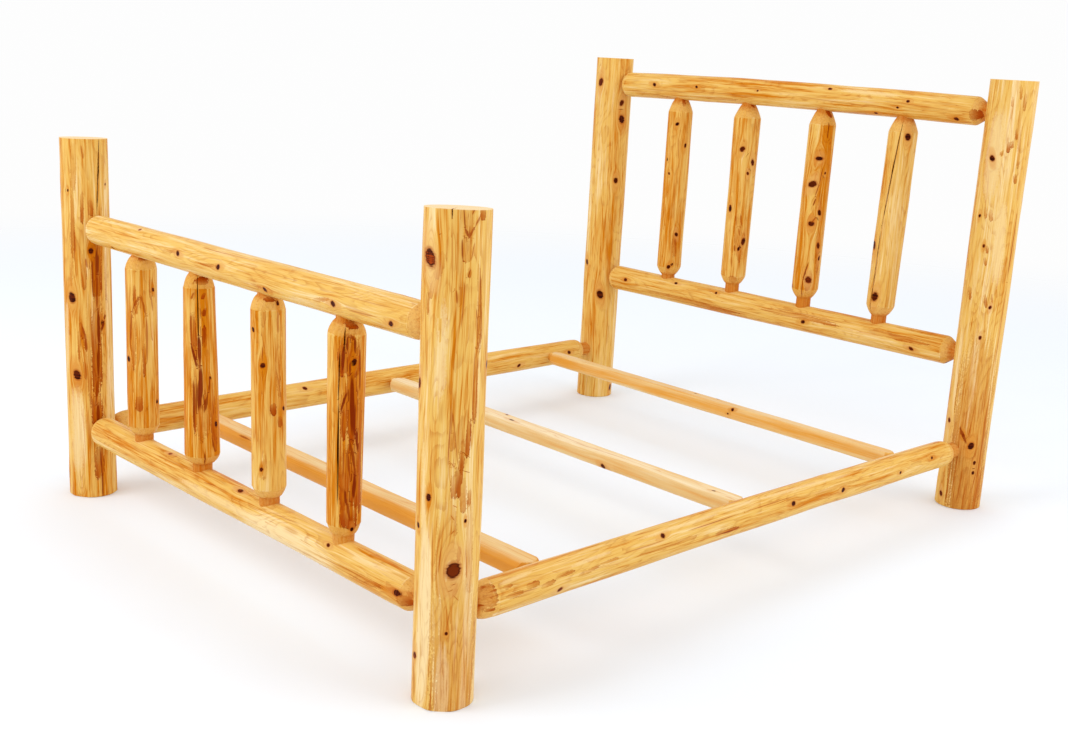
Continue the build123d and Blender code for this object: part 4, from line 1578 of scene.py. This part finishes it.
# %% Describe the headboard's left spindles
HEAD_SPINDLE_1 = Log(
    "head_spindle_1", "z", (0.0462, 0.0465), head_ends(0.012), tone=0.48,
    knots=(
        Knot(677.3, 124, SMALL, 0.9, 1.0), Knot(685.3, 145.5, FINE, 0.9, 2.0),
        Knot(667.2, 159.4, PIN, 0.9, 1.8), Knot(669, 173.5, FINE, 0.9, 1.0),
        Knot(676.3, 234.5, SMALL, 0.7, 1.2), Knot(668.4, 267, SMALL, 0.9, 1.1),
        Knot(672.3, 264, PIN, 0.9),
    ),
    lines=(
        Line(675, 238, 675.5, 246, 0.0070, 0.60), Line(671, 240, 671, 260, 0.0050, 0.45),
        Line(678, 135, 678.5, 160, 0.0040, 0.40), Line(674, 170, 674, 230, 0.0044, 0.35),
    ),
    barks_and_shade=(BarkAndShade(685, 107, 686, 98, 0.020, 0.80), BarkAndShade(675, 228, 674, 258, 0.016, 0.45)),
)
HEAD_SPINDLE_2 = Log(
    "head_spindle_2", "z", (0.0456, 0.0483), head_ends(0.026), tone=0.46,
    shifts=((-0.003, 0.0), (0.0, 0.0)),
    knots=(
        Knot(742.6, 149, 0.0088, 0.9, 1.0), Knot(752.8, 162.5, 0.0075, 0.7, 1.5),
        Knot(748, 173.5, FINE, 0.6), Knot(730.5, 208.4, SMALL, 0.9, 1.8),
        Knot(743.7, 241.5, 0.0080, 0.8, 1.7), Knot(739, 249, FINE, 0.8, 1.6),
    ),
    lines=(
        Line(736, 215, 736.5, 226, 0.0050, 0.60), Line(741, 214, 742, 226, 0.0050, 0.60),
        Line(735, 245, 735, 252, 0.0050, 0.70), Line(732, 256, 732, 268, 0.0050, 0.50),
        Line(739, 228, 740, 236, 0.0050, 0.55), Line(744, 232, 745, 237, 0.0050, 0.60),
    ),
    barks_and_shade=(
        BarkAndShade(752, 101, 757, 108, 0.022, 0.90), BarkAndShade(738, 210, 740, 262, 0.034, 0.30),
        BarkAndShade(733, 284, 733, 276, 0.034, 0.40),
    ),
)

# %% Describe the headboard's right spindles
HEAD_SPINDLE_3 = Log(
    "head_spindle_3", "z", (0.0462, 0.0457), head_ends(0.028), tone=0.56,
    shifts=((0.0, 0.0), (0.007, 0.0)),
    knots=(
        Knot(818, 158.5, 0.0130, 0.75, 0.55), Knot(811.5, 184, 0.0135, 0.65, 0.80),
        Knot(818.6, 212.7, SMALL, 0.8, 1.5), Knot(810.4, 223.5, 0.0110, 0.75, 0.80),
        Knot(817.5, 245.5, SMALL, 0.8, 1.6), Knot(818.3, 258, FINE, 0.7, 1.8),
        Knot(808, 280, 0.0115, 0.55, 1.0), Knot(824, 173, PIN, 0.8),
    ),
    lines=(
        Line(828, 122, 826.5, 132, 0.0060, 0.85), Line(826.5, 131, 826, 139, 0.0050, 0.80),
        Line(829, 141, 828.5, 145, 0.0050, 0.70), Line(822, 166, 818, 185, 0.0040, 0.75),
        Line(818, 184, 814, 196, 0.0040, 0.75), Line(815, 198, 812, 206, 0.0044, 0.80),
        Line(808, 262, 803, 279, 0.0044, 0.85), Line(803, 278, 800.5, 299, 0.0040, 0.80),
        Line(815, 217, 811, 223, 0.0060, 0.70), Line(792.5, 283, 792.5, 289, 0.0060, 0.80),
    ),
    barks_and_shade=(
        BarkAndShade(827, 107, 832, 118, 0.026, 1.00), BarkAndShade(818, 225, 816, 275, 0.016, 0.40),
        BarkAndShade(809, 268, 807, 292, 0.026, 0.50), BarkAndShade(820, 190, 818, 214, 0.012, 0.45),
    ),
)
HEAD_SPINDLE_4 = Log(
    "head_spindle_4", "z", (0.0467, 0.0479), head_ends(0.020), tone=0.24,
    shifts=((-0.008, 0.0), (0.005, 0.0)),
    knots=(Knot(907, 137, MIDDLE, 0.8), Knot(875, 245, BROAD, 0.8), Knot(876, 297, BROAD, 0.8)),
    checks=(Check(902, 121, 882, 228, 0.0030), Check(882, 226, 870, 318, 0.0030)),
)

# %% Make the spindles
SPINDLES = (
    FOOT_SPINDLE_1, FOOT_SPINDLE_2, FOOT_SPINDLE_3, FOOT_SPINDLE_4,
    HEAD_SPINDLE_1, HEAD_SPINDLE_2, HEAD_SPINDLE_3, HEAD_SPINDLE_4,
)
SPINDLE_SEED, SPINDLE_KNOTS = 51, 4
for seed, log in enumerate(SPINDLES, SPINDLE_SEED):
    log.hidden_knots = SPINDLE_KNOTS
    make_log(log, seed, "peeled_log")

# %% [markdown]
# ## The side rails
# The two long rails are the only logs that come off again. A hanger bolt stands in each post, and
# its nut and washer sit in a pocket milled into the rail's underside. The pocket is a real hole, cut
# with a Boolean, because it can be seen from below and the washer must have a face to press on.

# %% Describe the side rails
SIDE_ENDS = (
    Whittled(RAIL_TENON, RAIL_DEPTH, bare=0.006, shoulder=0.048, dome=1.0),
    Whittled(RAIL_TENON, RAIL_DEPTH, bare=0.040, shoulder=0.040, dome=1.0),
)
SIDE_RAIL_RIGHT = Log(
    "side_rail_right", "y", (0.0436, 0.0415), SIDE_ENDS, tone=0.32, twist=0.06,
    shifts=((0.0, 0.0), (-0.009, -0.008)), bow=(0.005, 0.0),
    knots=(
        Knot(663.5, 536.6, SMALL, 0.7), Knot(795, 504, SMALL, 0.8), Knot(845, 490, SMALL, 0.8),
        Knot(903, 472, FINE, 0.8), Knot(934.5, 456.5, FINE, 0.9), Knot(560, 590, SMALL, 0.5),
    ),
    lines=(
        Line(688, 532, 745, 513, 0.0026, 0.7), Line(745, 513, 800, 495, 0.0022, 0.6),
        Line(722, 535, 735, 531, 0.0044, 0.8), Line(500, 598, 540, 588, 0.0030, 0.5),
        Line(620, 556, 668, 540, 0.0026, 0.45),
    ),
    barks_and_shade=(
        BarkAndShade(478, 600, 497, 593, 0.070, 0.45), BarkAndShade(480, 588, 486, 586, 0.008, 0.90),
        BarkAndShade(490, 584, 496, 588, 0.008, 0.85), BarkAndShade(480, 598, 485, 596, 0.007, 0.90),
        BarkAndShade(488, 600, 494, 597, 0.007, 0.95), BarkAndShade(479, 608, 487, 605, 0.012, 0.95),
        BarkAndShade(486, 613, 495, 609, 0.008, 0.90), BarkAndShade(490, 592, 497, 590, 0.007, 0.85),
        BarkAndShade(503, 589, 513, 585, 0.012, 0.60), BarkAndShade(506, 598, 524, 592, 0.014, 0.50),
        BarkAndShade(526, 588, 540, 583, 0.014, 0.60), BarkAndShade(541, 588, 556, 581, 0.012, 0.50),
        BarkAndShade(556, 578, 575, 571, 0.010, 0.50), BarkAndShade(578, 577, 600, 567, 0.010, 0.45),
        BarkAndShade(600, 566, 620, 558, 0.008, 0.45), BarkAndShade(716, 535, 740, 528, 0.012, 0.70),
        BarkAndShade(640, 556, 700, 536, 0.012, 0.30), BarkAndShade(780, 506, 860, 480, 0.012, 0.25),
    ),
    # These pale patches along the rail's top are painted highlights of the lacquer.
    sapwood_and_sheen=(
        SapwoodAndSheen(500, 585, 532, 572, 0.012), SapwoodAndSheen(570, 568, 612, 552, 0.010), SapwoodAndSheen(640, 540, 720, 514, 0.011),
        SapwoodAndSheen(760, 500, 850, 474, 0.012),
    ),
)
SIDE_RAIL_LEFT = Log(
    "side_rail_left", "y", (0.0434, 0.0448), SIDE_ENDS, tone=0.34, twist=-0.05,
    shifts=((-0.006, 0.0), (-0.001, 0.0)),
    knots=(Knot(305, 387, SMALL, 0.6), Knot(519, 365, SMALL, 0.7), Knot(569, 352, SMALL, 0.8)),
)

# %% Mill the nut pockets
POCKET_REACH, POCKET_HALF, POCKET_ROOF = 0.036, 0.016, 0.015
CUTTER_BELOW = 0.08


def box_mesh(name, low, high):
    """Closed box between two corners: 8 vertices, 6 faces that point outwards."""
    grid = np.array(np.meshgrid((0, 1), (0, 1), (0, 1), indexing="ij")).reshape(3, -1).T
    points = np.array(low) + grid * (np.array(high) - np.array(low))
    faces = ((0, 1, 3, 2), (4, 6, 7, 5), (0, 4, 5, 1), (2, 3, 7, 6), (0, 2, 6, 4), (1, 5, 7, 3))
    mesh = bpy.data.meshes.new(name)
    mesh.from_pydata(points.tolist(), [], faces)
    return mesh


def mill_pockets(mesh, log):
    """Cuts a pocket inwards from each washer's outer face, open downwards."""
    outer = max(abs(corner[1]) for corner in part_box("side_rail_washers"))
    rail = put_in_scene("rail_blank", mesh)
    cutters = []
    for toward in (-1, 1):
        ends = sorted((toward * outer, toward * (outer - POCKET_REACH)))
        low = (log.start[0] - POCKET_HALF, ends[0], log.start[2] - CUTTER_BELOW)
        high = (log.start[0] + POCKET_HALF, ends[1], log.start[2] + POCKET_ROOF)
        cutter = put_in_scene("cutter", box_mesh("cutter", low, high))
        cut = rail.modifiers.new("pocket", "BOOLEAN")
        cut.operation, cut.solver, cut.object = "DIFFERENCE", "EXACT", cutter
        cutters.append(cutter)
    evaluated = rail.evaluated_get(bpy.context.evaluated_depsgraph_get())
    milled = bpy.data.meshes.new_from_object(evaluated)
    for helper in (rail, *cutters):
        bpy.data.objects.remove(helper)
    milled.name = log.node
    milled.validate()
    return milled


# %% Make the side rails
SIDE_RAIL_SEED = 71
for seed, log in enumerate((SIDE_RAIL_RIGHT, SIDE_RAIL_LEFT), SIDE_RAIL_SEED):
    plain = log_mesh(log.settle(seed))
    milled = mill_pockets(plain, log)
    remember(log, milled)
    piece = show(milled, log.node, "peeled_log")
    print(piece.name, len(plain.polygons), "faces before the pockets and", len(milled.polygons), "after")

# %% [markdown]
# ## The slats
# Three bars lie across the side rails and carry the mattress. They are sawn, not peeled, so their
# section is squared with round edges, and a pith outside the bar gives them long straight rings.

# %% Make the slats
SLAT_TENON, SLAT_DEPTH = 0.017, 0.030
SLAT_ENDS = (Whittled(SLAT_TENON, SLAT_DEPTH, bare=0.012, shoulder=0.030, dome=0.6),) * 2
SLAT_SEED, SLAT_KNOTS = 91, 3
# The side number of each slat paints shade on its long sides, darker and warmer than its top.
SLATS = (
    Log(
        "foot_slat", "x", (0.030, 0.030), SLAT_ENDS, section=(0.0365, 0.0225), pith=(0.03, -0.11),
        shifts=((0.001, 0.0), (-0.012, 0.0)), tone=0.42, side_shade=1.05,
        lines=(Line(237, 434, 251, 440, 0.006, 0.7),),
    ),
    Log(
        "middle_slat", "x", (0.029, 0.029), SLAT_ENDS, section=(0.0355, 0.0200), pith=(-0.02, -0.10),
        shifts=((0.009, 0.0), (-0.016, 0.0)), tone=0.10, side_shade=0.45,
        knots=(
            Knot(512, 420, 0.0050, 0.8, 2.2), Knot(507, 414.7, PIN, 0.5, 1.6),
            Knot(603.8, 466.6, SMALL, 0.8), Knot(717, 490, FINE, 0.6),
        ),
        lines=(Line(560, 430, 640, 462, 0.0030, 0.35), Line(520, 418, 600, 450, 0.0024, 0.30)),
    ),
    Log(
        "head_slat", "x", (0.025, 0.025), SLAT_ENDS, section=(0.0245, 0.0225), pith=(-0.09, -0.06),
        shifts=((0.018, 0.0), (-0.026, -0.002)), tone=0.42, side_shade=0.42,
        knots=(Knot(734, 409, FINE, 1.0), Knot(696, 393, PIN, 0.6), Knot(729, 413, PIN, 0.8)),
    ),
)
for seed, slat in enumerate(SLATS, SLAT_SEED):
    slat.hidden_knots = SLAT_KNOTS
    make_log(slat, seed, "sawn_slat")

# %% [markdown]
# ## Floor and light
# The bed stands in a white studio, so most light comes from all round: a white world gives it, and
# its mirror in the lacquer makes the logs' edges pale, helped by painted reflection on the foot posts'
# edges and painted highlights on the right side rail. Two large, weak lamps give the logs their
# roundness. A single strong lamp would throw a shadow that this studio doesn't have.

# %% Lay the floor and light the world
FLOOR_HALF, WORLD_LIGHT = 9.0, 0.985
FADE_START, FADE_END = 3.6, 7.5
FLOOR_WHITE, WORLD_WHITE = linear(240, 245, 251), (1.0, 1.0, 1.0, 1.0)
bpy.context.scene.view_settings.view_transform = "Standard"
floor_mesh = bpy.data.meshes.new("floor")
corners = [(x * FLOOR_HALF, y * FLOOR_HALF, 0.0) for x, y in ((-1, -1), (1, -1), (1, 1), (-1, 1))]
floor_mesh.from_pydata(corners, [], [(0, 1, 2, 3)])
floor = put_in_scene("floor", floor_mesh)


def pale_floor():
    """Matt white that fades out with distance, so that no line parts it from the white world."""
    finish = Finish("pale_floor")
    place_on = finish.add("ShaderNodeTexCoord", {}, {}, "Object")
    away = finish.add("ShaderNodeVectorMath", {"operation": "LENGTH"}, {0: place_on}, "Value")
    alpha = finish.step(away, FADE_END, FADE_START)
    return finish.dress(Base_Color=FLOOR_WHITE, Roughness=0.9, Specular_IOR_Level=0.0, Alpha=alpha)


floor_mesh.materials.append(pale_floor())
floor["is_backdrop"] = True

world = bpy.data.worlds.new("studio")
world.use_nodes = True
background = world.node_tree.nodes["Background"]
background.inputs["Color"].default_value = WORLD_WHITE
background.inputs["Strength"].default_value = WORLD_LIGHT
bpy.context.scene.world = world
print("world", WORLD_LIGHT)


# %% Hang the lamps
def softbox(name, place, target, size, watts):
    """A square area lamp at a place, turned to face a target."""
    lamp = bpy.data.lights.new(name, "AREA")
    lamp.size, lamp.energy = size, watts
    holder = put_in_scene(name, lamp)
    holder.location = place
    holder.rotation_euler = (Vector(target) - Vector(place)).to_track_quat("-Z", "Y").to_euler()
    print(name, "lamp of", watts, "W")


softbox("key", place=(-1.5, -5.0, 4.2), target=(0, 0, 0.4), size=3.0, watts=95)
softbox("fill", place=(4.5, 1.5, 3.2), target=(0, 0, 0.5), size=3.0, watts=50)

# %% [markdown]
# ## The two boxes
# The finished bed has to stay within the imported one's box, so both boxes are measured and kept, and
# then the frame checks every piece.

# %% Measure and finish
low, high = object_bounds()
boxes = {"cad": [list(corner) for corner in CAD_BOX], "visual": [list(low), list(high)]}
print("visual box:", boxes["visual"])
print("faces:", sum(len(piece.data.polygons) for piece in made.values()))
